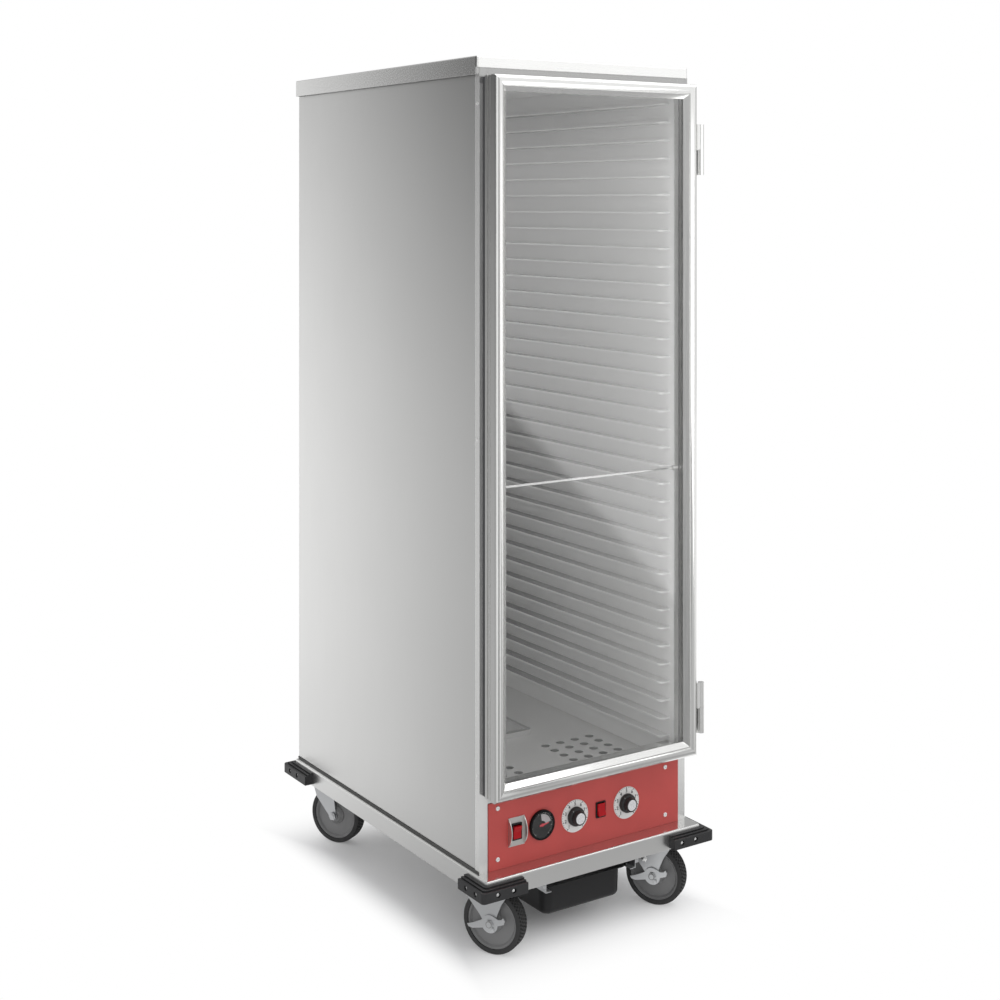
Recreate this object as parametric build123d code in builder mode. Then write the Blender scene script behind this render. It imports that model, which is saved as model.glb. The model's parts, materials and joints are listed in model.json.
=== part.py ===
"""Mobile heated holding cabinet: a tall sheet-aluminium cabin for sheet pans, closed by a
full-height clear door, over a control drawer and a base frame on four swivel casters.

Millimetres. X to the right, Y to the back, Z up; the door faces -Y.
The origin is on the floor, under the middle of the cabinet's box.
"""

import math
import os

from build123d import *

os.makedirs("parts", exist_ok=True)

# ---------------------------------------------------------------- driving dimensions

PAN_PITCH = 38.1            # height between two pan slides (1.5 in)
SLIDE_COUNT = 36            # pan slides on each wall
FIRST_SLIDE = 344.5         # middle of the lowest slide
WHEEL_RADIUS = 63.5         # 5 in wheels
WHEEL_WIDTH = 32.0

TOTAL_HEIGHT = 1754.0
BODY_HALF_WIDTH = 255.0     # outer face of the side skins
BODY_FRONT = -371.0         # face that the door closes against
BODY_BACK = 410.0
CAP_HALF_WIDTH = 264.0
BASE_HALF_WIDTH = 266.0
BASE_HALF_DEPTH = 410.0
BUMPER_REACH = 20.0         # how far a corner bumper stands out from the base

SKIRT_BOTTOM = 140.0
DECK_TOP = 176.0
PANEL_TOP = 307.7           # top of the red control panel
SILL_TOP = 336.0
FLOOR_TOP = 294.5           # cabin floor
CEILING = 1722.0            # underside of the cabin ceiling
CABIN_BACK = 385.0
WALL = 241.0                # cabin side wall, inner face
LINER_FRONT = -358.0

DOOR_HALF_WIDTH = 251.0
DOOR_BOTTOM = 324.0
DOOR_TOP = 1716.0
DOOR_FRONT = -421.0
DOOR_DEPTH = 38.0           # front of the door to the back of its frame
DOOR_MEMBER = 31.0          # width of one frame member

HINGE_X = 264.0
HINGE_Y = -414.0
HINGE_HEIGHTS = (420.0, 1581.0)
HINGE_LENGTH = 105.0

SHEET = 1.2                 # skins and liners
BASE_SHEET = 3.0

CONTROL_HEIGHT = 242.5      # middle of every control on the panel
PANEL_FACE = -373.0
POWER_X = -172.0
THERMOMETER_X = -112.0
HEAT_X = -30.5
MODE_X = 33.5
PROOF_X = 99.5

KINGPIN_X = 202.5
KINGPIN_Y = 330.0
TRAIL = 9.0                 # kingpin to axle, seen from above
AXLE_ANGLE = 209.9          # direction of the axle's outer end, seen from above

TRAY_HALF_WIDTH = 109.0
TRAY_FRONT = -375.0
TRAY_DEPTH = 290.0
TRAY_TOP = 115.0
TRAY_BOTTOM = 51.0


# ---------------------------------------------------------------- shared helpers

def slab(x0, x1, y0, y1, z0, z1, mode=Mode.ADD):
    """A block between two corners, in the part block that is open."""
    with Locations(((x0 + x1) / 2, (y0 + y1) / 2, (z0 + z1) / 2)):
        Box(x1 - x0, y1 - y0, z1 - z0, mode=mode)


def front_rod(x, z, radius, y0, y1, mode=Mode.ADD):
    """A round bar along Y from y0 back to y1, in the part block that is open."""
    with Locations((x, (y0 + y1) / 2, z)):
        Cylinder(radius, y1 - y0, rotation=(90, 0, 0), mode=mode)


def front_hole(x, z, radius, y0, y1):
    """A round hole along Y from y0 back to y1, in the part block that is open."""
    front_rod(x, z, radius, y0, y1, Mode.SUBTRACT)


def side_rod(y, z, radius, x0, x1, mode=Mode.ADD):
    """A round bar along X from x0 to x1, in the part block that is open."""
    with Locations(((x0 + x1) / 2, y, z)):
        Cylinder(radius, x1 - x0, rotation=(0, 90, 0), mode=mode)


def upright_rod(x, y, radius, z0, z1, mode=Mode.ADD):
    """An upright round bar between two heights, in the part block that is open."""
    with Locations((x, y, (z0 + z1) / 2)):
        Cylinder(radius, z1 - z0, mode=mode)


def save(part, name):
    """Labels a finished piece and writes it as the node of that name."""
    part.label = name
    export_step(part, f"parts/{name}.step")


# ---------------------------------------------------------------- base

# Folded tray: a deck with a skirt all round, rounded along its top edge.
CORNER_RADIUS = 6.0
SCREW_HEIGHT = 155.5
FRONT_SCREWS = (-250.5, -214.5, 202.0, 238.0)       # x of the bumper screws at the front and back
SIDE_SCREWS = (-402.0, -368.0, 359.5, 395.0)        # y of the bumper screws on both sides
SCREW_SHANK = 2.0

with BuildPart() as base_frame:
    with BuildSketch(Plane.XY.offset(SKIRT_BOTTOM)):
        RectangleRounded(2 * BASE_HALF_WIDTH, 2 * BASE_HALF_DEPTH, CORNER_RADIUS)
    extrude(amount=DECK_TOP - SKIRT_BOTTOM)
    fillet(base_frame.faces().sort_by(Axis.Z)[-1].edges(), 4.0)
    with BuildSketch(Plane.XY.offset(SKIRT_BOTTOM)):
        RectangleRounded(2 * (BASE_HALF_WIDTH - BASE_SHEET), 2 * (BASE_HALF_DEPTH - BASE_SHEET),
                         CORNER_RADIUS - BASE_SHEET)
    extrude(amount=DECK_TOP - BASE_SHEET - SKIRT_BOTTOM, mode=Mode.SUBTRACT)
    for x in FRONT_SCREWS:
        front_hole(x, SCREW_HEIGHT, SCREW_SHANK, -BASE_HALF_DEPTH, BASE_HALF_DEPTH)
    for y in SIDE_SCREWS:
        side_rod(y, SCREW_HEIGHT, SCREW_SHANK, -BASE_HALF_WIDTH, BASE_HALF_WIDTH, Mode.SUBTRACT)
save(base_frame.part, "base_frame")

# Two box channels under the deck carry the caster plates.
CHANNEL_BOTTOM = 156.0
CHANNEL_WIDTH = 104.0
CHANNEL_WALL = 2.5
with BuildPart() as caster_channels:
    for side in (-1, 1):
        slab(-262, 262, side * KINGPIN_Y - CHANNEL_WIDTH / 2, side * KINGPIN_Y + CHANNEL_WIDTH / 2,
             CHANNEL_BOTTOM, DECK_TOP - BASE_SHEET)
        slab(-262, 262, side * KINGPIN_Y - CHANNEL_WIDTH / 2 + CHANNEL_WALL,
             side * KINGPIN_Y + CHANNEL_WIDTH / 2 - CHANNEL_WALL,
             CHANNEL_BOTTOM + CHANNEL_WALL, DECK_TOP - BASE_SHEET - CHANNEL_WALL, Mode.SUBTRACT)
save(caster_channels.part, "caster_channels")

# Corner bumpers: a tall front face and a top that steps up in ribs to the skirt.
BUMPER_OUT_X = BASE_HALF_WIDTH + BUMPER_REACH
BUMPER_OUT_Y = BASE_HALF_DEPTH + BUMPER_REACH
BUMPER_FRONT_LEG = 104.0
BUMPER_SIDE_LEG = 90.0      # on the front bumpers
REAR_SIDE_LEG = 112.0
BUMPER_BOTTOM = 144.0
BUMPER_STEPS = ((BUMPER_REACH, 164.5), (12.8, 167.0), (6.0, 169.5))     # reach and top of each rib
GROOVE_WIDTH = 1.7
GROOVE_DEPTH = 1.5
RECESS_RADIUS = 5.2
RECESS_DEPTH = 5.0
HEAD_RADIUS = 3.9
HEAD_HEIGHT = 2.4


def base_block(reach, bottom, top):
    """A block over the whole base that stands out by reach on every side."""
    with BuildPart() as block:
        with BuildSketch(Plane.XY.offset(bottom)):
            RectangleRounded(2 * (BASE_HALF_WIDTH + reach), 2 * (BASE_HALF_DEPTH + reach),
                             CORNER_RADIUS + reach / 10)
        extrude(amount=top - bottom)
    return block.part


bumper_face = base_block(BUMPER_REACH, BUMPER_BOTTOM, BUMPER_STEPS[0][1])
bumper_hollow = base_block(0, BUMPER_BOTTOM, DECK_TOP)
bumper_ribs = []
for (_, lower_top), (reach, top) in zip(BUMPER_STEPS, BUMPER_STEPS[1:]):
    groove = base_block(reach + GROOVE_WIDTH, lower_top - GROOVE_DEPTH, DECK_TOP)
    bumper_ribs.append((groove, base_block(reach, BUMPER_BOTTOM, top)))
with BuildPart() as corner_bumpers:
    add(bumper_face)
    fillet(corner_bumpers.faces().filter_by(Axis.Z).edges(), 1.2)
    for groove, rib in bumper_ribs:
        add(groove, mode=Mode.SUBTRACT)
        add(rib)
    add(bumper_hollow, mode=Mode.SUBTRACT)
    slab(-BUMPER_OUT_X + BUMPER_FRONT_LEG, BUMPER_OUT_X - BUMPER_FRONT_LEG, -BUMPER_OUT_Y, BUMPER_OUT_Y,
         BUMPER_BOTTOM, DECK_TOP, Mode.SUBTRACT)
    slab(-BUMPER_OUT_X, BUMPER_OUT_X, -BUMPER_OUT_Y + BUMPER_SIDE_LEG, BUMPER_OUT_Y - REAR_SIDE_LEG,
         BUMPER_BOTTOM, DECK_TOP, Mode.SUBTRACT)
    for x in FRONT_SCREWS:
        front_hole(x, SCREW_HEIGHT, SCREW_SHANK, -BUMPER_OUT_Y, BUMPER_OUT_Y)
        front_hole(x, SCREW_HEIGHT, RECESS_RADIUS, -BUMPER_OUT_Y, -BUMPER_OUT_Y + RECESS_DEPTH)
        front_hole(x, SCREW_HEIGHT, RECESS_RADIUS, BUMPER_OUT_Y - RECESS_DEPTH, BUMPER_OUT_Y)
    for y in SIDE_SCREWS:
        for radius, x0, x1 in ((SCREW_SHANK, -BUMPER_OUT_X, BUMPER_OUT_X),
                               (RECESS_RADIUS, -BUMPER_OUT_X, -BUMPER_OUT_X + RECESS_DEPTH),
                               (RECESS_RADIUS, BUMPER_OUT_X - RECESS_DEPTH, BUMPER_OUT_X)):
            side_rod(y, SCREW_HEIGHT, radius, x0, x1, Mode.SUBTRACT)
save(corner_bumpers.part, "corner_bumpers")

# One screw per hole: a head in the recess and a shank through the skirt.
recess_x = BUMPER_OUT_X - RECESS_DEPTH
recess_y = BUMPER_OUT_Y - RECESS_DEPTH
SHANK_END = BASE_SHEET + 0.8        # how far a shank reaches in from the skirt's face
with BuildPart() as front_screws:
    for x in FRONT_SCREWS:
        front_rod(x, SCREW_HEIGHT, HEAD_RADIUS, -recess_y - HEAD_HEIGHT, -recess_y)
        front_rod(x, SCREW_HEIGHT, SCREW_SHANK, -recess_y, -BASE_HALF_DEPTH + SHANK_END)
    mirror(about=Plane.XZ)
with BuildPart() as side_screws:
    for y in SIDE_SCREWS:
        side_rod(y, SCREW_HEIGHT, HEAD_RADIUS, -recess_x - HEAD_HEIGHT, -recess_x)
        side_rod(y, SCREW_HEIGHT, SCREW_SHANK, -recess_x, -BASE_HALF_WIDTH + SHANK_END)
    mirror(about=Plane.YZ)
with BuildPart() as bumper_screws:
    add(front_screws.part)
    add(side_screws.part)
save(bumper_screws.part, "bumper_screws")


# ---------------------------------------------------------------- casters

PLATE_BOTTOM = 152.0
PLATE_HALF_X = 50.0
PLATE_HALF_Y = 42.0
PLATE_BOLT_SPACING = (80.0, 64.0)
RACE_RADIUS = 31.0
RACE_BOTTOM = 146.0
RACE_GAP = 0.5
KINGPIN_RADIUS = 6.0
KINGPIN_COLLAR = 9.0
KINGPIN_END = 128.5
CROWN_TOP = 134.5
CROWN_BOTTOM = 131.5
LEG_INSIDE = 19.0           # inner face of a fork leg, from the wheel's middle
LEG_THICKNESS = 3.0
AXLE_RADIUS = 5.0
AXLE_HALF = 29.0
NUT_RADIUS = 8.8            # over the nut's corners
NUT_START = 25.2
NUT_END = 27.5
HUB_RADIUS = 53.0
LEVER_START = 22.3
LEVER_END = 24.9
TURN_GAP = 0.05             # between a turning bore and its pin

# Fork legs seen from the axle's end: right of the kingpin, and height.
FRONT_LEG = ((-43, 134.5), (-41, 107.5), (-14, 77.5), (-3, 60), (20, 58), (23, 79.5), (33, 103.5),
             (45, 121.5), (47, 134.5))
FRONT_TIP = 12.5
REAR_LEG = ((-47, 134.5), (-36, 101.5), (0, 59.5), (16, 63.5), (11, 98.5), (15, 134.5))
REAR_TIP = 8.5
# Half of the hub's section: out from the axle, and sideways from the wheel's middle.
HUB_SECTION = ((AXLE_RADIUS + TURN_GAP, 18), (14, 18), (20.5, 12), (21.5, 9.5), (46, 8), (49.5, 12.5),
               (HUB_RADIUS, 13))
# Brake lever round the axle: a long tapered arm, a round middle and a short fish-tail arm.
LEVER_OUTLINE = ((-50, 3.2), (-36, 4.7), (-14.5, 9.7), (12, 13), (20, 7.5), (27, 6.5), (33, 10),
                 (35, 3.7), (31, -2.8), (15.6, -4.8), (-13.4, -5.8), (-40, -5.8), (-48, -2.3))
LEVER_MIDDLE = 17.5
LEVER_TILT = 13.0           # short arm up

axle_dir = Vector(math.cos(math.radians(AXLE_ANGLE)), math.sin(math.radians(AXLE_ANGLE)), 0)
trail_dir = Vector(-axle_dir.Y, axle_dir.X, 0)      # from the kingpin to the axle
kingpins = {
    "front_left": (-KINGPIN_X, -KINGPIN_Y),
    "front_right": (KINGPIN_X, -KINGPIN_Y),
    "rear_left": (-KINGPIN_X, KINGPIN_Y),
    "rear_right": (KINGPIN_X, KINGPIN_Y),
}

# Top plates, each with its upper race, the kingpin that the fork hangs on, and four bolt heads.
with BuildPart() as caster_plates:
    for x, y in kingpins.values():
        slab(x - PLATE_HALF_X, x + PLATE_HALF_X, y - PLATE_HALF_Y, y + PLATE_HALF_Y,
             PLATE_BOTTOM, CHANNEL_BOTTOM)
        upright_rod(x, y, RACE_RADIUS - 1, RACE_BOTTOM, PLATE_BOTTOM)
        upright_rod(x, y, KINGPIN_RADIUS, KINGPIN_END, RACE_BOTTOM)
        upright_rod(x, y, KINGPIN_COLLAR, KINGPIN_END, CROWN_BOTTOM - 0.3)
    with BuildSketch(Plane.XY.offset(PLATE_BOTTOM)):
        for x, y in kingpins.values():
            with Locations((x, y)):
                with GridLocations(*PLATE_BOLT_SPACING, 2, 2):
                    RegularPolygon(6.5, 6)
    extrude(amount=-4.5)
save(caster_plates.part, "caster_plates")


def side_plane(x, y, out):
    """Upright plane beside a caster's wheel, out from the wheel's middle towards the axle's end."""
    return Plane(origin=Vector(x, y, 0) + axle_dir * out, x_dir=trail_dir, z_dir=axle_dir)


def caster_fork(x, y, leg, tip):
    """Stamped fork with its lower race, and the axle bolt through its legs."""
    crown_start, crown_end = leg[0][0], max(leg[-1][0], RACE_RADIUS)
    with BuildPart() as fork:
        for out in (-LEG_INSIDE - LEG_THICKNESS, LEG_INSIDE):
            with BuildSketch(side_plane(x, y, out)):
                Polygon(*leg, align=None)
                with Locations((TRAIL, WHEEL_RADIUS)):
                    Circle(tip)
                    Circle(AXLE_RADIUS + TURN_GAP / 2, mode=Mode.SUBTRACT)
            extrude(amount=LEG_THICKNESS)
        with BuildSketch(side_plane(x, y, -LEG_INSIDE)):
            with Locations(((crown_start + crown_end) / 2, (CROWN_TOP + CROWN_BOTTOM) / 2)):
                Rectangle(crown_end - crown_start, CROWN_TOP - CROWN_BOTTOM)
        extrude(amount=2 * LEG_INSIDE)
        upright_rod(x, y, RACE_RADIUS, CROWN_TOP, RACE_BOTTOM - RACE_GAP)
        upright_rod(x, y, KINGPIN_RADIUS + TURN_GAP, CROWN_BOTTOM, RACE_BOTTOM, Mode.SUBTRACT)
    with BuildPart() as axle:
        with BuildSketch(side_plane(x, y, -AXLE_HALF)):
            with Locations((TRAIL, WHEEL_RADIUS)):
                Circle(AXLE_RADIUS)
        extrude(amount=2 * AXLE_HALF)
        for out in (-NUT_END, NUT_START):
            with BuildSketch(side_plane(x, y, out)):
                with Locations((TRAIL, WHEEL_RADIUS)):
                    RegularPolygon(NUT_RADIUS, 6)
            extrude(amount=NUT_END - NUT_START)
        with BuildSketch(side_plane(x, y, -NUT_START)):
            with Locations((TRAIL, WHEEL_RADIUS)):
                Circle(8)
        extrude(amount=NUT_START - LEG_INSIDE - LEG_THICKNESS)
    return fork.part, axle.part


def caster_tyre(x, y):
    """Solid rubber tread with rounded shoulders."""
    with BuildPart() as tyre:
        with BuildSketch(side_plane(x, y, -WHEEL_WIDTH / 2)):
            with Locations((TRAIL, WHEEL_RADIUS)):
                Circle(WHEEL_RADIUS)
                Circle(HUB_RADIUS, mode=Mode.SUBTRACT)
        extrude(amount=WHEEL_WIDTH)
        fillet(tyre.edges().filter_by(GeomType.CIRCLE).sort_by(lambda e: e.radius)[-2:], 5.0)
    return tyre.part


def caster_hub(x, y):
    """Moulded centre: a rim, a flat disc and a boss with the axle's bore."""
    centre = Vector(x, y, WHEEL_RADIUS) + trail_dir * TRAIL
    mirrored = [(out, -sideways) for out, sideways in reversed(HUB_SECTION)]
    with BuildPart() as hub:
        with BuildSketch(Plane(origin=centre, x_dir=trail_dir, z_dir=-Vector(0, 0, 1))):
            Polygon(*HUB_SECTION, *mirrored, align=None)
        revolve(axis=Axis(centre, axle_dir))
    return hub.part


def brake_lever(x, y):
    """Pedal on the axle's outer end."""
    with BuildPart() as lever:
        with BuildSketch(side_plane(x, y, LEVER_START)):
            with Locations((TRAIL, WHEEL_RADIUS)):
                Polygon(*LEVER_OUTLINE, rotation=LEVER_TILT, align=None)
                Circle(LEVER_MIDDLE)
                Circle(AXLE_RADIUS + TURN_GAP, mode=Mode.SUBTRACT)
        extrude(amount=LEVER_END - LEVER_START)
    return lever.part


for corner, (x, y) in kingpins.items():
    is_front = corner.startswith("front")
    fork_body, axle_bolt = caster_fork(x, y, *((FRONT_LEG, FRONT_TIP) if is_front else (REAR_LEG, REAR_TIP)))
    with BuildPart() as fork_piece:
        add(fork_body)
        add(axle_bolt)
    save(fork_piece.part, f"{corner}_fork")
    save(caster_tyre(x, y), f"{corner}_tyre")
    save(caster_hub(x, y), f"{corner}_hub")
    if is_front:
        save(brake_lever(x, y), f"{corner}_brake_lever")


# ---------------------------------------------------------------- outer body

# Side skins stand on the deck and reach up inside the cap.
CAP_SHEET = 1.5
CAP_UNDERSIDE = TOTAL_HEIGHT - CAP_SHEET
POST_SHEET = 1.0
skin_front = BODY_FRONT + POST_SHEET
with BuildPart() as side_skins:
    slab(BODY_HALF_WIDTH - SHEET, BODY_HALF_WIDTH, skin_front, BODY_BACK - SHEET, DECK_TOP, CAP_UNDERSIDE)
    mirror(about=Plane.YZ)
save(side_skins.part, "side_skins")

INLET_X = 170.0
INLET_Z = 225.0
INLET_RADIUS = 11.0
with BuildPart() as back_skin:
    slab(-BODY_HALF_WIDTH, BODY_HALF_WIDTH, BODY_BACK - SHEET, BODY_BACK, DECK_TOP, CAP_UNDERSIDE)
    front_hole(INLET_X, INLET_Z, INLET_RADIUS, BODY_BACK - SHEET, BODY_BACK)
save(back_skin.part, "back_skin")

# Supply inlet: a flanged bush in the back skin.
with BuildPart() as cord_inlet:
    front_rod(INLET_X, INLET_Z, INLET_RADIUS, BODY_BACK - 8, BODY_BACK)
    front_rod(INLET_X, INLET_Z, 17.0, BODY_BACK, BODY_BACK + 3)
    front_rod(INLET_X, INLET_Z, 10.0, BODY_BACK + 3, BODY_BACK + 10)
    front_hole(INLET_X, INLET_Z, 5.0, BODY_BACK - 8, BODY_BACK + 10)
save(cord_inlet.part, "cord_inlet")

# Cap: a shallow folded lid, deeper at the sides and back than over the door.
CAP_SIDE_LIP = 36.0
CAP_FRONT_LIP = 22.0
CAP_FRONT = BODY_FRONT - 1.5
CAP_BACK = BODY_BACK + 2.0
with BuildPart() as top_cap:
    cap_middle = (CAP_FRONT + CAP_BACK) / 2
    cap_depth = CAP_BACK - CAP_FRONT
    with BuildSketch(Plane.XY.offset(TOTAL_HEIGHT - CAP_SIDE_LIP)):
        with Locations((0, cap_middle)):
            RectangleRounded(2 * CAP_HALF_WIDTH, cap_depth, 5.0)
    extrude(amount=CAP_SIDE_LIP)
    fillet(top_cap.faces().sort_by(Axis.Z)[-1].edges(), 3.0)
    with BuildSketch(Plane.XY.offset(TOTAL_HEIGHT - CAP_SIDE_LIP)):
        with Locations((0, cap_middle)):
            RectangleRounded(2 * (CAP_HALF_WIDTH - CAP_SHEET), cap_depth - 2 * CAP_SHEET, 3.5)
    extrude(amount=CAP_SIDE_LIP - CAP_SHEET, mode=Mode.SUBTRACT)
    slab(-CAP_HALF_WIDTH - 1, CAP_HALF_WIDTH + 1, CAP_FRONT - 1, CAP_FRONT + 5,
         TOTAL_HEIGHT - CAP_SIDE_LIP - 1, TOTAL_HEIGHT - CAP_FRONT_LIP, Mode.SUBTRACT)
save(top_cap.part, "top_cap")

# Front frame: two folded corner posts and the header between them.
POST_INSIDE = 237.0
POST_OUTSIDE = BODY_HALF_WIDTH + POST_SHEET
HEADER_BOTTOM = 1700.0
HEADER_HALF = POST_INSIDE - 0.2
with BuildPart() as front_frame:
    with BuildSketch(Plane.XY.offset(DECK_TOP)):
        with Locations(((POST_INSIDE + POST_OUTSIDE) / 2, BODY_FRONT + POST_SHEET / 2)):
            Rectangle(POST_OUTSIDE - POST_INSIDE, POST_SHEET)
        with Locations((POST_OUTSIDE - POST_SHEET / 2, BODY_FRONT + 8)):
            Rectangle(POST_SHEET, 16)
        with Locations((POST_INSIDE + POST_SHEET / 2, (BODY_FRONT + LINER_FRONT) / 2)):
            Rectangle(POST_SHEET, LINER_FRONT - BODY_FRONT)
        mirror(about=Plane.YZ)
    extrude(amount=CAP_UNDERSIDE - DECK_TOP)
    slab(-HEADER_HALF, HEADER_HALF, BODY_FRONT, skin_front, HEADER_BOTTOM, CAP_UNDERSIDE)
    slab(-HEADER_HALF, HEADER_HALF, skin_front, LINER_FRONT, HEADER_BOTTOM, HEADER_BOTTOM + POST_SHEET)
    slab(-HEADER_HALF, HEADER_HALF, LINER_FRONT - POST_SHEET, LINER_FRONT, HEADER_BOTTOM, CEILING)
save(front_frame.part, "front_frame")

with BuildPart() as front_sill:
    slab(-POST_INSIDE, POST_INSIDE, BODY_FRONT, skin_front, PANEL_TOP + 0.3, SILL_TOP)
    slab(-POST_INSIDE, POST_INSIDE, BODY_FRONT, LINER_FRONT + 22, SILL_TOP - SHEET, SILL_TOP)
    slab(-POST_INSIDE, POST_INSIDE, LINER_FRONT + 22 - SHEET, LINER_FRONT + 22, FLOOR_TOP, SILL_TOP)
save(front_sill.part, "front_sill")

# Blind rivets along the posts' side flanges.
RIVET_HEIGHTS = (363.0, 1012.0, 1662.0)
RIVET_Y = BODY_FRONT + 7.5
with BuildPart() as post_rivets:
    with BuildSketch(Plane.YZ.offset(POST_OUTSIDE)):
        for height in RIVET_HEIGHTS:
            with Locations((RIVET_Y, height)):
                Circle(3.2)
    extrude(amount=1.4)
    mirror(about=Plane.YZ)
save(post_rivets.part, "post_rivets")


# ---------------------------------------------------------------- cabin

liner_out = WALL + SHEET
with BuildPart() as side_liners:
    slab(WALL, liner_out, LINER_FRONT, CABIN_BACK, FLOOR_TOP, CEILING)
    mirror(about=Plane.YZ)
save(side_liners.part, "side_liners")

with BuildPart() as back_liner:
    slab(-liner_out, liner_out, CABIN_BACK, CABIN_BACK + SHEET, FLOOR_TOP, CEILING)
save(back_liner.part, "back_liner")

with BuildPart() as ceiling_liner:
    slab(-liner_out, liner_out, LINER_FRONT, CABIN_BACK + SHEET, CEILING, CEILING + SHEET)
save(ceiling_liner.part, "ceiling_liner")

# Pan slides: thin ledges with a rounded front corner, one above the other on both walls.
SLIDE_REACH = 25.0
SLIDE_THICKNESS = 4.0
SLIDE_FRONT = -338.0
SLIDE_BACK = 372.0
with BuildPart() as pan_slides:
    with BuildSketch(Plane.XY.offset(FIRST_SLIDE - SLIDE_THICKNESS / 2)) as slide_outline:
        with Locations((WALL - SLIDE_REACH / 2, (SLIDE_FRONT + SLIDE_BACK) / 2)):
            Rectangle(SLIDE_REACH, SLIDE_BACK - SLIDE_FRONT)
        fillet(slide_outline.vertices().group_by(Axis.X)[0], 14.0)
    extrude(amount=SLIDE_THICKNESS)
    mirror(about=Plane.YZ)
    one_level = pan_slides.part
    with Locations([(0, 0, level * PAN_PITCH) for level in range(1, SLIDE_COUNT)]):
        add(one_level)
save(pan_slides.part, "pan_slides")

TIE_ROD_Y = -352.0
TIE_ROD_Z = FIRST_SLIDE + 15 * PAN_PITCH - 3.0
with BuildPart() as tie_rod:
    with BuildSketch(Plane.YZ.offset(-WALL)):
        with Locations((TIE_ROD_Y, TIE_ROD_Z)):
            Circle(3.0)
    extrude(amount=2 * WALL)
    for start in (-WALL, WALL - 2.5):
        with BuildSketch(Plane.YZ.offset(start)):
            with Locations((TIE_ROD_Y, TIE_ROD_Z)):
                Circle(5.5)
        extrude(amount=2.5)
save(tie_rod.part, "tie_rod")

# Cabin floor: two groups of air holes and the cut-out that the water pan hangs in.
HOLE_PITCH = 39.3
HOLE_ROW = 34.4
HOLE_RADIUS = 9.8
HOLE_GROUP_X = 129.0
HOLE_GROUP_Y = -176.4
PAN_Y = 70.0
PAN_CUT_X = 80.0
PAN_CUT_Y = 105.5
with BuildPart() as floor_plate:
    slab(-liner_out, liner_out, LINER_FRONT, CABIN_BACK + SHEET, FLOOR_TOP - 1.5, FLOOR_TOP)
    with BuildSketch(Plane.XY.offset(FLOOR_TOP - 1.5)):
        for side in (-1, 1):
            with Locations((side * HOLE_GROUP_X, HOLE_GROUP_Y)):
                with GridLocations(HOLE_PITCH, HOLE_ROW, 4, 4):
                    Circle(HOLE_RADIUS)
        with Locations((0, PAN_Y)):
            Rectangle(2 * PAN_CUT_X, 2 * PAN_CUT_Y)
    extrude(amount=1.5, mode=Mode.SUBTRACT)
save(floor_plate.part, "floor_plate")

# Water pan: a deep bowl with a raised, turned-down rim.
RIM_TOP = 306.0
RIM_HALF_X = 90.0
RIM_HALF_Y = 115.0
BOWL_BOTTOM = 246.0
with BuildPart() as water_pan:
    for half_x, half_y, bottom, top, mode in (
            (RIM_HALF_X, RIM_HALF_Y, FLOOR_TOP + 0.3, RIM_TOP, Mode.ADD),
            (RIM_HALF_X - SHEET, RIM_HALF_Y - SHEET, FLOOR_TOP + 0.3, RIM_TOP - SHEET, Mode.SUBTRACT),
            (PAN_CUT_X - 0.5, PAN_CUT_Y - 0.5, BOWL_BOTTOM, RIM_TOP, Mode.ADD),
            (PAN_CUT_X - 0.5 - SHEET, PAN_CUT_Y - 0.5 - SHEET, BOWL_BOTTOM + SHEET, RIM_TOP, Mode.SUBTRACT)):
        with BuildSketch(Plane.XY.offset(bottom)):
            with Locations((0, PAN_Y)):
                RectangleRounded(2 * half_x, 2 * half_y, 8.0)
        extrude(amount=top - bottom, mode=mode)
save(water_pan.part, "water_pan")

# Insulation between skins and liners: sides, back and top.
with BuildPart() as insulation:
    slab(liner_out, BODY_HALF_WIDTH - SHEET, LINER_FRONT + 4, CABIN_BACK, FLOOR_TOP, CEILING)
    mirror(about=Plane.YZ)
    slab(-liner_out, liner_out, CABIN_BACK + SHEET, BODY_BACK - SHEET, FLOOR_TOP, CEILING)
    slab(-liner_out, liner_out, LINER_FRONT + 4, CABIN_BACK, CEILING + SHEET, CAP_UNDERSIDE - 2)
save(insulation.part, "insulation")


# ---------------------------------------------------------------- heat and air under the floor

ELEMENT_Z = 216.0
ELEMENT_HALF = 45.0
with BuildPart() as heating_element:
    with BuildLine() as element_path:
        Line((-ELEMENT_HALF, -60, ELEMENT_Z), (-ELEMENT_HALF, 140, ELEMENT_Z))
        ThreePointArc((-ELEMENT_HALF, 140, ELEMENT_Z), (0, 140 + ELEMENT_HALF, ELEMENT_Z),
                      (ELEMENT_HALF, 140, ELEMENT_Z))
        Line((ELEMENT_HALF, 140, ELEMENT_Z), (ELEMENT_HALF, -60, ELEMENT_Z))
    with BuildSketch(Plane(origin=(-ELEMENT_HALF, -60, ELEMENT_Z), z_dir=(0, 1, 0))):
        Circle(4.0)
    sweep(path=element_path.line)
    slab(-62, 62, -52, -50, DECK_TOP, ELEMENT_Z + 14)
    slab(-62, 62, 118, 120, DECK_TOP, ELEMENT_Z - 2)
save(heating_element.part, "heating_element")

FAN_X = -165.0
FAN_Y = 60.0
FAN_RADIUS = 46.0
FAN_SHAFT = 4.0
with BuildPart() as fan_motor:
    slab(FAN_X - 45, FAN_X + 45, FAN_Y - 45, FAN_Y + 45, DECK_TOP, DECK_TOP + 3)
    upright_rod(FAN_X, FAN_Y, 33.0, DECK_TOP + 3, 232)
    upright_rod(FAN_X, FAN_Y, 12.0, 232, 238)
    upright_rod(FAN_X, FAN_Y, FAN_SHAFT + 0.05, 200, 240, Mode.SUBTRACT)
save(fan_motor.part, "fan_motor")

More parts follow.
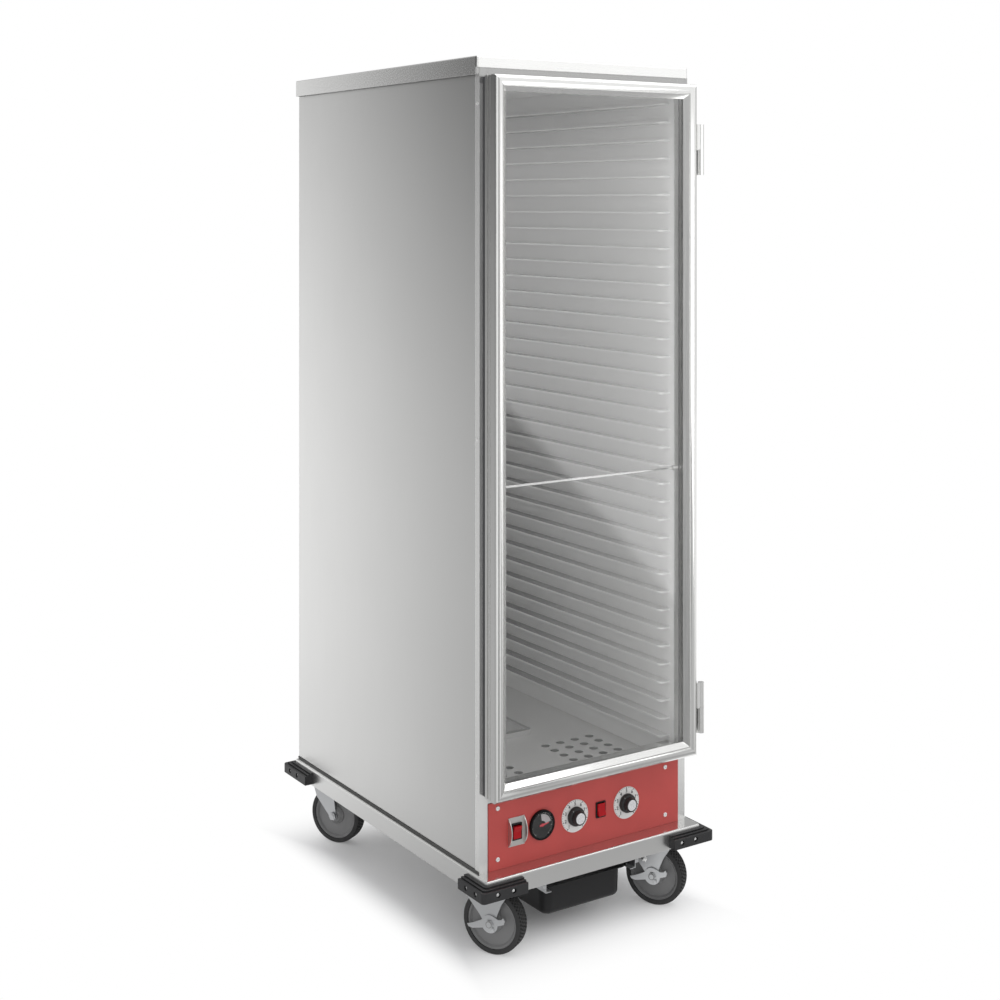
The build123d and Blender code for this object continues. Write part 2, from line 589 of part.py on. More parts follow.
# Squirrel-cage wheel on the motor's shaft.
BLADE_COUNT = 20
with BuildPart() as fan_wheel:
    upright_rod(FAN_X, FAN_Y, FAN_SHAFT, 201, 262)
    upright_rod(FAN_X, FAN_Y, 9.0, 242, 262)
    upright_rod(FAN_X, FAN_Y, FAN_RADIUS, 244, 246)
    with BuildSketch(Plane.XY.offset(246)):
        with Locations((FAN_X, FAN_Y)):
            with PolarLocations(FAN_RADIUS - 4.5, BLADE_COUNT):
                Rectangle(8, 1.6, rotation=25)
    extrude(amount=38)
    with BuildSketch(Plane.XY.offset(284)):
        with Locations((FAN_X, FAN_Y)):
            Circle(FAN_RADIUS)
            Circle(FAN_RADIUS - 9, mode=Mode.SUBTRACT)
    extrude(amount=2)
save(fan_wheel.part, "fan_wheel")


# ---------------------------------------------------------------- control drawer

PANEL_HALF = 236.4
PANEL_BOTTOM = 176.0
PANEL_SCREWS = [(x, z) for x in (-215.5, 201.5) for z in (196.5, 295.5)]
THERMOMETER_BODY = 24.0
SWITCH_HOLE = (20.0, 30.0)

with BuildPart() as control_panel:
    slab(-PANEL_HALF, PANEL_HALF, PANEL_FACE, BODY_FRONT, PANEL_BOTTOM, PANEL_TOP)
    fillet(control_panel.edges().filter_by(Axis.X).group_by(Axis.Y)[0], 0.6)
    front_hole(THERMOMETER_X, CONTROL_HEIGHT, THERMOMETER_BODY, PANEL_FACE, BODY_FRONT)
    for x in (HEAT_X, PROOF_X):
        front_hole(x, CONTROL_HEIGHT, 5.0, PANEL_FACE, BODY_FRONT)
    for x in (POWER_X, MODE_X):
        slab(x - SWITCH_HOLE[0] / 2, x + SWITCH_HOLE[0] / 2, PANEL_FACE - 1, BODY_FRONT + 1,
             CONTROL_HEIGHT - SWITCH_HOLE[1] / 2, CONTROL_HEIGHT + SWITCH_HOLE[1] / 2, Mode.SUBTRACT)
    for x, z in PANEL_SCREWS:
        front_hole(x, z, 2.0, PANEL_FACE, BODY_FRONT)
save(control_panel.part, "control_panel")

CHASSIS_BACK = -300.0
with BuildPart() as control_chassis:
    slab(-226, 226, BODY_FRONT, CHASSIS_BACK, 184, 286)
    slab(-PANEL_HALF, PANEL_HALF, BODY_FRONT, BODY_FRONT + SHEET, PANEL_BOTTOM, PANEL_TOP)
    slab(-226 + SHEET, 226 - SHEET, BODY_FRONT - 1, CHASSIS_BACK - SHEET, 184 + SHEET, 286 - SHEET,
         Mode.SUBTRACT)
    for x, z in PANEL_SCREWS:
        front_hole(x, z, 2.0, BODY_FRONT, BODY_FRONT + SHEET)
save(control_chassis.part, "control_chassis")

with BuildPart() as panel_screws:
    for x, z in PANEL_SCREWS:
        front_rod(x, z, 4.6, PANEL_FACE - 2.2, PANEL_FACE)
        front_rod(x, z, 2.0, PANEL_FACE, BODY_FRONT + 8)
    fillet(panel_screws.edges().filter_by(GeomType.CIRCLE).group_by(Axis.Y)[0], 1.6)
    for x, z in PANEL_SCREWS:
        slab(x - 3, x + 3, PANEL_FACE - 3, PANEL_FACE - 1.1, z - 0.5, z + 0.5, Mode.SUBTRACT)
save(panel_screws.part, "panel_screws")

# Rocker switches: a framed body through the panel and a paddle that tips on a cross pin.
ROCKER_TILT = 9.0
ROCKER_PIVOT_Y = PANEL_FACE - 1.0


def switch_body(x, frame_half_x, frame_half_z, paddle_half_x, paddle_half_z, face):
    """Switch housing with its frame in front of the surface at face."""
    with BuildPart() as housing:
        slab(x - frame_half_x, x + frame_half_x, face - 2.2, face,
             CONTROL_HEIGHT - frame_half_z, CONTROL_HEIGHT + frame_half_z)
        fillet(housing.edges().filter_by(Axis.Y), 1.5)
        slab(x - 9.8, x + 9.8, face, BODY_FRONT + 24, CONTROL_HEIGHT - 14.8, CONTROL_HEIGHT + 14.8)
        slab(x - paddle_half_x - 0.3, x + paddle_half_x + 0.3, face - 3, BODY_FRONT + 8,
             CONTROL_HEIGHT - paddle_half_z - 1.0, CONTROL_HEIGHT + paddle_half_z + 1.0, Mode.SUBTRACT)
    return housing.part


def switch_paddle(x, half_x, half_z, tilt):
    """Paddle with two faces that meet in a shallow valley, tipped about its pin by tilt degrees."""
    pin = Plane(origin=(x - half_x, ROCKER_PIVOT_Y, CONTROL_HEIGHT), x_dir=(0, -1, 0), z_dir=(1, 0, 0))
    with BuildPart() as paddle:
        with BuildSketch(pin):
            Polygon((-5, -half_z + 4), (6.0, -half_z), (3.6, 0), (6.0, half_z), (-5, half_z - 4),
                    rotation=tilt, align=None)
        extrude(amount=2 * half_x)
        fillet(paddle.edges().filter_by(GeomType.LINE).sort_by(Axis.Y)[0:1], 0.8)
    return paddle.part


GUARD_SHEET = 1.4
power_face = PANEL_FACE - GUARD_SHEET
save(switch_body(POWER_X, 11.5, 16.5, 8.9, 13.0, power_face), "power_switch_body")
save(switch_paddle(POWER_X, 8.9, 12.6, ROCKER_TILT), "power_rocker")
save(switch_body(MODE_X, 12.0, 16.0, 8.9, 13.0, PANEL_FACE), "mode_switch_body")
save(switch_paddle(MODE_X, 8.9, 12.6, -ROCKER_TILT), "mode_rocker")

# Guard round the power switch: a plate with a curved fin standing up along each side.
GUARD_HALF_X = 19.0
GUARD_HALF_Z = 28.0
FIN_RISE = 13.0
with BuildPart() as switch_guard:
    slab(POWER_X - GUARD_HALF_X, POWER_X + GUARD_HALF_X, PANEL_FACE - GUARD_SHEET, PANEL_FACE,
         CONTROL_HEIGHT - GUARD_HALF_Z, CONTROL_HEIGHT + GUARD_HALF_Z)
    slab(POWER_X - 9.8, POWER_X + 9.8, PANEL_FACE - 3, PANEL_FACE + 1,
         CONTROL_HEIGHT - 14.8, CONTROL_HEIGHT + 14.8, Mode.SUBTRACT)
    for fin_x in (POWER_X - GUARD_HALF_X, POWER_X + GUARD_HALF_X - 2.0):
        with BuildSketch(Plane.YZ.offset(fin_x)):
            with BuildLine():
                ThreePointArc((PANEL_FACE, CONTROL_HEIGHT - GUARD_HALF_Z),
                              (PANEL_FACE - FIN_RISE, CONTROL_HEIGHT),
                              (PANEL_FACE, CONTROL_HEIGHT + GUARD_HALF_Z))
                Line((PANEL_FACE, CONTROL_HEIGHT + GUARD_HALF_Z), (PANEL_FACE, CONTROL_HEIGHT - GUARD_HALF_Z))
            make_face()
        extrude(amount=2.0)
save(switch_guard.part, "switch_guard")

# Dial thermometer: a round case with a raised bezel, a needle on a pin and a domed lens.
BEZEL_RADIUS = 29.5
LENS_RADIUS = 26.0
LENS_RISE = 3.0
DIAL_FACE = PANEL_FACE - 1.5
NEEDLE_ANGLE = 8.0          # above +X at rest
with BuildPart() as thermometer_case:
    front_rod(THERMOMETER_X, CONTROL_HEIGHT, BEZEL_RADIUS, PANEL_FACE - 6, PANEL_FACE)
    fillet(thermometer_case.edges().filter_by(GeomType.CIRCLE).group_by(Axis.Y)[0], 2.0)
    front_hole(THERMOMETER_X, CONTROL_HEIGHT, LENS_RADIUS, PANEL_FACE - 7, DIAL_FACE)
    front_rod(THERMOMETER_X, CONTROL_HEIGHT, THERMOMETER_BODY, PANEL_FACE, BODY_FRONT + 26)
    front_hole(THERMOMETER_X, CONTROL_HEIGHT, 1.05, DIAL_FACE, DIAL_FACE + 6)
save(thermometer_case.part, "thermometer_case")

with BuildPart() as thermometer_needle:
    front_rod(THERMOMETER_X, CONTROL_HEIGHT, 1.0, DIAL_FACE - 0.6, DIAL_FACE + 5)
    front_rod(THERMOMETER_X, CONTROL_HEIGHT, 3.0, DIAL_FACE - 1.4, DIAL_FACE - 0.4)
    with BuildSketch(Plane(origin=(THERMOMETER_X, DIAL_FACE - 1.3, CONTROL_HEIGHT),
                           x_dir=(1, 0, 0), z_dir=(0, 1, 0))):
        Polygon((-6, -1.8), (15, -0.8), (15, 0.8), (-6, 1.8), rotation=-NEEDLE_ANGLE, align=None)
    extrude(amount=0.8)
save(thermometer_needle.part, "thermometer_needle")

lens_back = PANEL_FACE - 3.6
lens_sphere = (LENS_RADIUS ** 2 + LENS_RISE ** 2) / (2 * LENS_RISE)
with BuildPart() as thermometer_lens:
    front_rod(THERMOMETER_X, CONTROL_HEIGHT, LENS_RADIUS, lens_back - 6, lens_back)
    with Locations((THERMOMETER_X, lens_back - 1.9 - LENS_RISE + lens_sphere, CONTROL_HEIGHT)):
        Sphere(lens_sphere, mode=Mode.INTERSECT)
save(thermometer_lens.part, "thermometer_lens")

# Thermostats: fixed scale plates in front, bodies behind, and a knob with its spindle on each.
SCALE_SHEET = 1.2
SPINDLE_RADIUS = 3.0
with BuildPart() as dial_plates:
    for x in (HEAT_X, PROOF_X):
        front_rod(x, CONTROL_HEIGHT, 32.5, PANEL_FACE - SCALE_SHEET, PANEL_FACE)
    fillet(dial_plates.edges().filter_by(GeomType.CIRCLE).group_by(Axis.Y)[0], 0.5)
    for x in (HEAT_X, PROOF_X):
        front_hole(x, CONTROL_HEIGHT, 5.0, PANEL_FACE - SCALE_SHEET, PANEL_FACE)
save(dial_plates.part, "dial_plates")

with BuildPart() as thermostats:
    for x in (HEAT_X, PROOF_X):
        slab(x - 18, x + 18, BODY_FRONT + SHEET, BODY_FRONT + 40, CONTROL_HEIGHT - 15, CONTROL_HEIGHT + 15)
        front_hole(x, CONTROL_HEIGHT, SPINDLE_RADIUS + 0.05, BODY_FRONT, BODY_FRONT + 25)
save(thermostats.part, "thermostats")

KNOB_BACK = PANEL_FACE - SCALE_SHEET - 0.4
for x, name in ((HEAT_X, "heat_knob"), (PROOF_X, "proof_knob")):
    with BuildPart() as knob:
        front_rod(x, CONTROL_HEIGHT, 19.0, KNOB_BACK - 8, KNOB_BACK)
        fillet(knob.edges().filter_by(GeomType.CIRCLE).group_by(Axis.Y)[0], 2.0)
        front_rod(x, CONTROL_HEIGHT, 14.5, KNOB_BACK - 19, KNOB_BACK - 8)
        fillet(knob.edges().filter_by(GeomType.CIRCLE).group_by(Axis.Y)[0], 1.5)
        front_rod(x, CONTROL_HEIGHT, SPINDLE_RADIUS, KNOB_BACK, BODY_FRONT + 24)
    save(knob.part, name)


# ---------------------------------------------------------------- drip tray

RAIL_WEB = 110.5
RAIL_SHEET = 1.5
RAIL_FOOT_TOP = TRAY_TOP - 2.3
rail_front = TRAY_FRONT - 13
rail_back = TRAY_FRONT + TRAY_DEPTH
rail_out = RAIL_WEB + RAIL_SHEET
with BuildPart() as tray_rails:
    slab(RAIL_WEB, rail_out, rail_front, rail_back, RAIL_FOOT_TOP - RAIL_SHEET, CHANNEL_BOTTOM)
    slab(RAIL_WEB - 12, RAIL_WEB, rail_front, rail_back, RAIL_FOOT_TOP - RAIL_SHEET, RAIL_FOOT_TOP)
    slab(rail_out, rail_out + 12, rail_front, rail_back, CHANNEL_BOTTOM - RAIL_SHEET, CHANNEL_BOTTOM)
    slab(RAIL_WEB, rail_out, rail_back - 30, rail_back, CHANNEL_BOTTOM, DECK_TOP - BASE_SHEET)
    slab(rail_out, rail_out + 7, rail_front, rail_front + RAIL_SHEET, TRAY_TOP + 6, TRAY_TOP + 13)
    mirror(about=Plane.YZ)
save(tray_rails.part, "tray_rails")

TRAY_WALL = 98.0
TRAY_SHEET = 2.0
TRAY_LIP = 12.0             # wall to the edge of the flange at the front and back
tray_middle = TRAY_FRONT + TRAY_DEPTH / 2


def tray_bowl(inset, bottom):
    """Tapered, round-cornered block that fills the tray's bowl, inset from its outer face."""
    with BuildPart() as bowl:
        with BuildSketch(Plane.XY.offset(TRAY_TOP)):
            with Locations((0, tray_middle)):
                RectangleRounded(2 * (TRAY_WALL - inset), TRAY_DEPTH - 2 * (TRAY_LIP + inset), 22.0 - inset)
        extrude(amount=bottom - TRAY_TOP, taper=2.0)
        fillet(bowl.faces().sort_by(Axis.Z)[0].edges(), 10.0 - inset)
    return bowl.part


tray_outside = tray_bowl(0, TRAY_BOTTOM)
tray_inside = tray_bowl(TRAY_SHEET, TRAY_BOTTOM + TRAY_SHEET)
with BuildPart() as drip_tray:
    add(tray_outside)
    with BuildSketch(Plane.XY.offset(TRAY_TOP - TRAY_SHEET)):
        with Locations((0, tray_middle)):
            RectangleRounded(2 * TRAY_HALF_WIDTH, TRAY_DEPTH, 24.0)
    extrude(amount=TRAY_SHEET)
    add(tray_inside, mode=Mode.SUBTRACT)
save(drip_tray.part, "drip_tray")


# ---------------------------------------------------------------- door

def door_member(corner, inwards, along, length):
    """One hollow frame member from corner, with both ends cut at 45 degrees.

    Its section's x runs from the outer edge inwards, and y from the front to the back."""
    corner, inwards, along = Vector(corner), Vector(inwards), Vector(along)
    with BuildPart() as member:
        with BuildSketch(Plane(origin=corner, x_dir=inwards, z_dir=along)):
            with BuildLine():
                ThreePointArc((0, 5), (8.5, 0), (19, 2.6))
                Polyline((19, 2.6), (19.4, 4.6), (20.6, 4.6), (21, 2.4), (DOOR_MEMBER, 11.5),
                         (DOOR_MEMBER, 13.8), (26, 13.8), (26, 18.2), (DOOR_MEMBER, 18.2),
                         (DOOR_MEMBER, 21), (20, 21), (20, DOOR_DEPTH), (0, DOOR_DEPTH), (0, 31),
                         (3.2, 31), (3.2, 26.5), (0, 26.5), (0, 21.5), (1.4, 21.5), (1.4, 19.5),
                         (0, 19.5), (0, 5))
            make_face()
            with Locations((11, 13)):
                Rectangle(14, 14, mode=Mode.SUBTRACT)
            with Locations((11.5, 29)):
                Rectangle(12, 14, mode=Mode.SUBTRACT)
        extrude(amount=length)
        split(bisect_by=Plane(origin=corner, z_dir=along - inwards), keep=Keep.TOP)
        split(bisect_by=Plane(origin=corner + along * length, z_dir=-along - inwards), keep=Keep.TOP)
    return member.part


door_height = DOOR_TOP - DOOR_BOTTOM
door_width = 2 * DOOR_HALF_WIDTH
right, up = (1, 0, 0), (0, 0, 1)
left, down = (-1, 0, 0), (0, 0, -1)
left_stile = door_member((-DOOR_HALF_WIDTH, DOOR_FRONT, DOOR_BOTTOM), right, up, door_height)
right_stile = door_member((DOOR_HALF_WIDTH, DOOR_FRONT, DOOR_TOP), left, down, door_height)
bottom_rail = door_member((DOOR_HALF_WIDTH, DOOR_FRONT, DOOR_BOTTOM), up, left, door_width)
top_rail = door_member((-DOOR_HALF_WIDTH, DOOR_FRONT, DOOR_TOP), down, right, door_width)

with BuildPart() as door_stiles:
    add(left_stile)
    add(right_stile)
save(door_stiles.part, "door_stiles")

with BuildPart() as door_rails:
    add(top_rail)
    add(bottom_rail)
save(door_rails.part, "door_rails")

pane_inset = 27.0
with BuildPart() as door_pane:
    slab(-DOOR_HALF_WIDTH + pane_inset, DOOR_HALF_WIDTH - pane_inset, DOOR_FRONT + 14, DOOR_FRONT + 18,
         DOOR_BOTTOM + pane_inset, DOOR_TOP - pane_inset)
save(door_pane.part, "door_pane")

# Magnetic gasket: four straight strips on the back of the frame.
GASKET_OUT = 2.5
GASKET_WIDTH = 9.0
gasket_back = BODY_FRONT - 0.3
gasket_front = DOOR_FRONT + DOOR_DEPTH
with BuildPart() as door_gasket:
    strip_out = DOOR_HALF_WIDTH - GASKET_OUT
    strip_in = strip_out - GASKET_WIDTH
    slab(strip_in, strip_out, gasket_front, gasket_back, DOOR_BOTTOM + GASKET_OUT, DOOR_TOP - GASKET_OUT)
    mirror(about=Plane.YZ)
    slab(-strip_in + 0.2, strip_in - 0.2, gasket_front, gasket_back,
         DOOR_BOTTOM + GASKET_OUT, DOOR_BOTTOM + GASKET_OUT + GASKET_WIDTH)
    slab(-strip_in + 0.2, strip_in - 0.2, gasket_front, gasket_back,
         DOOR_TOP - GASKET_OUT - GASKET_WIDTH, DOOR_TOP - GASKET_OUT)
save(door_gasket.part, "door_gasket")

# Lift-off hinges: the lower knuckle and its pin stay on the body, the upper one goes with the door.
KNUCKLE_RADIUS = 6.5
PIN_RADIUS = 3.2
LEAF = 2.6

with BuildPart() as hinge_body_leaves:
    for middle in HINGE_HEIGHTS:
        bottom, top = middle - HINGE_LENGTH / 2, middle - 0.4
        upright_rod(HINGE_X, HINGE_Y, KNUCKLE_RADIUS, bottom, top)
        slab(POST_OUTSIDE, POST_OUTSIDE + LEAF, HINGE_Y, BODY_FRONT + 30, bottom, top)
        upright_rod(HINGE_X, HINGE_Y, PIN_RADIUS, top, middle + HINGE_LENGTH / 2 - 5)
save(hinge_body_leaves.part, "hinge_body_leaves")

with BuildPart() as hinge_door_leaves:
    for middle in HINGE_HEIGHTS:
        bottom, top = middle + 0.4, middle + HINGE_LENGTH / 2
        upright_rod(HINGE_X, HINGE_Y, KNUCKLE_RADIUS, bottom, top)
        slab(DOOR_HALF_WIDTH, HINGE_X - 2, HINGE_Y - 4, HINGE_Y - 1, bottom, top)
        slab(DOOR_HALF_WIDTH, DOOR_HALF_WIDTH + LEAF, HINGE_Y - 4, DOOR_FRONT + DOOR_DEPTH - 2, bottom, top)
        upright_rod(HINGE_X, HINGE_Y, PIN_RADIUS + 0.05, bottom, top - 3, Mode.SUBTRACT)
save(hinge_door_leaves.part, "hinge_door_leaves")
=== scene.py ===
"""Looks of a mobile heated holding cabinet, laid over its packed construction.

Metres, in the construction's own frame: X to the right, Y to the back, Z up; the door faces -Y.
"""
import json
import math

import bmesh
import bpy
from bpy.props import FloatProperty, FloatVectorProperty, IntProperty, PointerProperty
from mathutils import Matrix, Vector


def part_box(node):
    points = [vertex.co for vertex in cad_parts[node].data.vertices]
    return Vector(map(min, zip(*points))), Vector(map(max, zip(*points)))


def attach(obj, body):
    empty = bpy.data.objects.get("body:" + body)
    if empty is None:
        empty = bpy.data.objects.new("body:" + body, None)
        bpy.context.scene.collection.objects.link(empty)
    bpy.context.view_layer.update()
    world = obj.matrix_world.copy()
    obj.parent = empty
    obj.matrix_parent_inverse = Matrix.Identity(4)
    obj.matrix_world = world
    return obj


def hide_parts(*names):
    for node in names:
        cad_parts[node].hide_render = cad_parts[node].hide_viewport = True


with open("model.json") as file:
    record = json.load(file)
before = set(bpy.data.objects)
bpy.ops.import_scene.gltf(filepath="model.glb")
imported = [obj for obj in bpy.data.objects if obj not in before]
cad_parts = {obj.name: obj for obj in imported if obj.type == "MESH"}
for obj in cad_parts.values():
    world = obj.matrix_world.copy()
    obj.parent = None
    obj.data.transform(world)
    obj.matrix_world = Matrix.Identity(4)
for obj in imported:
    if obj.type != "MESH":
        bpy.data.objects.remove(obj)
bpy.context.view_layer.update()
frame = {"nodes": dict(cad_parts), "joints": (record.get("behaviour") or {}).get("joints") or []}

bl_info = {
    "name": "Heated holding cabinet",
    "version": (1, 0, 0),
    "blender": (4, 5, 0),
    "location": "View3D > Sidebar > Cabinet",
    "description": "Finishes and small pieces of a mobile heated holding cabinet",
    "category": "Object",
}

MM = 0.001
FRONT_CORNERS = ("front_left", "front_right")
CORNERS = (*FRONT_CORNERS, "rear_left", "rear_right")
JOINTS = {joint["name"]: joint for joint in frame["joints"]}
FINISHES = {}  # the materials made here, by name


# ---- settings

class CabinetFinish(bpy.types.PropertyGroup):
    """Colours and surface grain of the cabinet"""
    panel_red: FloatVectorProperty(
        name="Panel red", description="Enamel of the control panel", subtype="COLOR",
        size=3, min=0, max=1, default=(0.52, 0.068, 0.060))
    aluminium: FloatVectorProperty(
        name="Aluminium", description="Bare sheet of the body", subtype="COLOR",
        size=3, min=0, max=1, default=(0.80, 0.80, 0.79))
    plastic: FloatVectorProperty(
        name="Black plastic", description="Knobs, switches, tray and bumpers", subtype="COLOR",
        size=3, min=0, max=1, default=(0.018, 0.018, 0.019))
    lamp_red: FloatVectorProperty(
        name="Lamp red", description="Lit rockers of the two switches", subtype="COLOR",
        size=3, min=0, max=1, default=(0.32, 0.004, 0.008))
    hub_grey: FloatVectorProperty(
        name="Hub grey", description="Moulded wheel centres", subtype="COLOR",
        size=3, min=0, max=1, default=(0.20, 0.20, 0.20))


class CabinetDetail(bpy.types.PropertyGroup):
    """Sizes of the small pieces"""
    knob_flutes: IntProperty(
        name="Knob flutes", description="Grooves round each thermostat knob", min=8, max=60, default=24)
    tread_blocks: IntProperty(
        name="Tread blocks", description="Blocks round each tyre's tread", min=24, max=96, default=54)
    tread_depth: FloatProperty(
        name="Tread depth", description="Depth of the cuts between the blocks", subtype="DISTANCE",
        unit="LENGTH", min=0, max=0.003, default=0.0018)
    mark_height: FloatProperty(
        name="Mark height", description="How far printed marks stand off their plate",
        subtype="DISTANCE", unit="LENGTH", min=0.00002, max=0.001, default=0.00012)


# ---- node helpers

def feed(tree, value, socket):
    """Joins an output to an input socket, or sets the input to a number or vector."""
    if isinstance(value, bpy.types.NodeSocket):
        tree.links.new(value, socket)
    elif value is not None:
        socket.default_value = value


def add_node(tree, kind, **values):
    """A node of that kind, with its properties set by keyword."""
    node = tree.nodes.new(kind)
    for key, value in values.items():
        setattr(node, key, value)
    return node


def node_out(tree, kind, inputs, output=0, **values):
    """An output of a new node, with its inputs fed from sockets or set to values."""
    node = add_node(tree, kind, **values)
    for key, value in inputs.items():
        feed(tree, value, node.inputs[key])
    return node.outputs[output]


def math_node(tree, operation, first, second=None):
    """The result of a Math node; each input is a socket or a number."""
    return node_out(tree, "ShaderNodeMath", {0: first, 1: second}, operation=operation)


def product(tree, total, *factors):
    """Several values multiplied together."""
    for factor in factors:
        total = math_node(tree, "MULTIPLY", total, factor)
    return total


def map_range(tree, value, low, high, new_low, new_high):
    """Rescales a value from low..high to new_low..new_high, clamped."""
    return node_out(tree, "ShaderNodeMapRange", {"Value": value, "From Min": low, "From Max": high,
                                                 "To Min": new_low, "To Max": new_high}, "Result")


def ramp(tree, value, none, full):
    """0 where the value is at none or beyond it, 1 at full or beyond it, straight between."""
    return map_range(tree, value, none, full, 0.0, 1.0)


def mix_colour(tree, factor, first, second):
    """A colour between two others, each a socket or an RGB value."""
    ends = [end if isinstance(end, bpy.types.NodeSocket) else (*end, 1) for end in (first, second)]
    return node_out(tree, "ShaderNodeMix", {0: factor, 6: ends[0], 7: ends[1]}, 2, data_type="RGBA")


def mix_number(tree, factor, first, second):
    """A number between two others, each a socket or a number."""
    return node_out(tree, "ShaderNodeMix", {0: factor, 2: first, 3: second}, data_type="FLOAT")


def split_vector(tree, vector):
    """X, Y and Z of a vector, as a node's outputs."""
    return node_out(tree, "ShaderNodeSeparateXYZ", {0: vector}).node.outputs


def place_of(tree, kind="Object"):
    """Where a point lies, by the Texture Coordinate output of that name."""
    return node_out(tree, "ShaderNodeTexCoord", {}, kind)


def normal_of(tree):
    """The way the surface faces."""
    return node_out(tree, "ShaderNodeNewGeometry", {}, "Normal")


def noise(tree, vector, scale, detail, roughness):
    """A noise value over a vector."""
    return node_out(tree, "ShaderNodeTexNoise", {"Vector": vector, "Scale": scale, "Detail": detail,
                                                 "Roughness": roughness}, "Fac")


def bumped(tree, height, distance, strength=1.0, normal=None):
    """A normal that leans with a height."""
    return node_out(tree, "ShaderNodeBump", {"Height": height, "Distance": distance,
                                             "Strength": strength, "Normal": normal})


EDGE_TURN = (0.995, 0.85)  # cosines of the turn at which an edge's mask starts, and is full
GRAIN_RELIEF = 0.0002
NUMBER, VECTOR = "NodeSocketFloat", "NodeSocketVector"


def soft_edge(tree, radius):
    """(normal that rounds sharp edges, mask that is 1 along them)."""
    rounded = node_out(tree, "ShaderNodeBevel", {"Radius": radius}, samples=4)
    turn = node_out(tree, "ShaderNodeVectorMath", {0: rounded, 1: normal_of(tree)}, "Value",
                    operation="DOT_PRODUCT")
    return rounded, ramp(tree, turn, *EDGE_TURN)


def brushed_lines(tree, place, scale):
    """Fine lines along the direction in which the scale is small."""
    stretched = node_out(tree, "ShaderNodeVectorMath", {0: place, 1: scale}, operation="MULTIPLY")
    return noise(tree, stretched, 1.0, 3.0, 0.6)


def even_stipple(tree, place, scale):
    """The fine stipple of a moulded surface."""
    return noise(tree, place, scale, 2.0, 0.6)


def surface_group(name, grain, scale_kind, scale, depth, patch_scale, patch_roughness):
    """A shared surface: a fine grain, broad patches and rounded edges."""
    tree = bpy.data.node_groups.new(name, "ShaderNodeTree")
    for title, kind, default in (("Grain Scale", scale_kind, scale), ("Grain Depth", NUMBER, depth),
                                 ("Patch Scale", NUMBER, patch_scale), ("Edge Radius", NUMBER, 0.0008)):
        tree.interface.new_socket(title, in_out="INPUT", socket_type=kind).default_value = default
    for title, kind in (("Grain", NUMBER), ("Patches", NUMBER), ("Edge", NUMBER), ("Normal", VECTOR)):
        tree.interface.new_socket(title, in_out="OUTPUT", socket_type=kind)
    given, out = add_node(tree, "NodeGroupInput").outputs, add_node(tree, "NodeGroupOutput").inputs
    place = place_of(tree)
    fine = grain(tree, place, given["Grain Scale"])
    rounded, edge = soft_edge(tree, given["Edge Radius"])
    feed(tree, fine, out["Grain"])
    feed(tree, noise(tree, place, given["Patch Scale"], 3.0, patch_roughness), out["Patches"])
    feed(tree, edge, out["Edge"])
    feed(tree, bumped(tree, fine, GRAIN_RELIEF, given["Grain Depth"], rounded), out["Normal"])


def blank_material(name):
    """A material with only its Principled shader: (material, tree, shader)."""
    material = bpy.data.materials.new(name)
    FINISHES[name] = material
    material.use_nodes = True
    tree = material.node_tree
    return material, tree, tree.nodes["Principled BSDF"]


def mix_shaders(tree, factor, first, second):
    """Sends a mix of two shader nodes to the material's surface."""
    mixed = node_out(tree, "ShaderNodeMixShader", {0: factor, 1: first.outputs[0], 2: second.outputs[0]})
    feed(tree, mixed, tree.nodes["Material Output"].inputs["Surface"])


def paint_over(material, mask, colour):
    """Lays a colour over a material's own where the mask is 1."""
    tree = material.node_tree
    base = tree.nodes["Principled BSDF"].inputs["Base Color"]
    feed(tree, mix_colour(tree, mask, base.links[0].from_socket, colour), base)


def shade(colour, factor):
    """A colour made lighter or darker by a factor."""
    return tuple(min(1.0, part * factor) for part in colour)


# ---- finishes

GRAIN_UPRIGHT = (700, 700, 9)
GRAIN_ACROSS = (9, 700, 700)
GRAIN_DEEP = (700, 9, 700)
METAL_TONES = (0.95, 1.04)  # dark and pale patches, as shares of the colour
METAL_EDGE = 1.15
MOULDED_TONES = (0.88, 1.12)
MOULDED_PATCH = 14.0
HEADER_FOOT = 1.700  # height above which the front faces of the door frame get a painted shade of the cap
# share of the colour left where the header takes its painted shade
HEADER_PAINTED_SHADE = 0.52
# colour of the painted shade on the ledges' flat faces, and where it runs
PAINTED_LEDGE_SHADE = (0.035, 0.034, 0.033)
PAINTED_SHADE_REACH = (-0.30, 0.26)  # from the front to the back end of the ledges
# pale grey of floor dust on the tyres, which also paints glints of light on the tread
DUST_AND_GLINT = (0.13, 0.125, 0.12)
WOOL_COLOURS = ((0.55, 0.45, 0.18), (0.85, 0.78, 0.5))


def surfaced(name, group, colour, tones, edge_tone, shine, rough, spread, values):
    """(material, shader) with a shared surface group and its input values.

    Its patches and edges vary the colour, and the output that shine names varies the roughness."""
    material, tree, shader = blank_material(name)
    node = add_node(tree, "ShaderNodeGroup", node_tree=bpy.data.node_groups[group])
    for title, value in zip(("Grain Scale", "Grain Depth", "Patch Scale", "Edge Radius"), values):
        node.inputs[title].default_value = value
    surface = node.outputs
    body = mix_colour(tree, surface["Patches"], *(shade(colour, tone) for tone in tones))
    worn = mix_colour(tree, surface["Edge"], body, shade(colour, edge_tone))
    feed(tree, worn, shader.inputs["Base Color"])
    feed(tree, map_range(tree, surface[shine], 0.3, 0.7, rough - spread, rough + spread),
         shader.inputs["Roughness"])
    feed(tree, surface["Normal"], shader.inputs["Normal"])
    return material, shader


def metal(name, colour, rough, grain=GRAIN_UPRIGHT, depth=0.06, edge=0.0008, spread=0.05, patch=3.0,
          metallic=1.0):
    """Bare metal with a brushed grain, soft patches and slightly polished edges."""
    material, shader = surfaced(name, "worked_metal", colour, METAL_TONES, METAL_EDGE, "Grain", rough,
                                spread, (grain, depth, patch, edge))
    shader.inputs["Metallic"].default_value = metallic
    return material


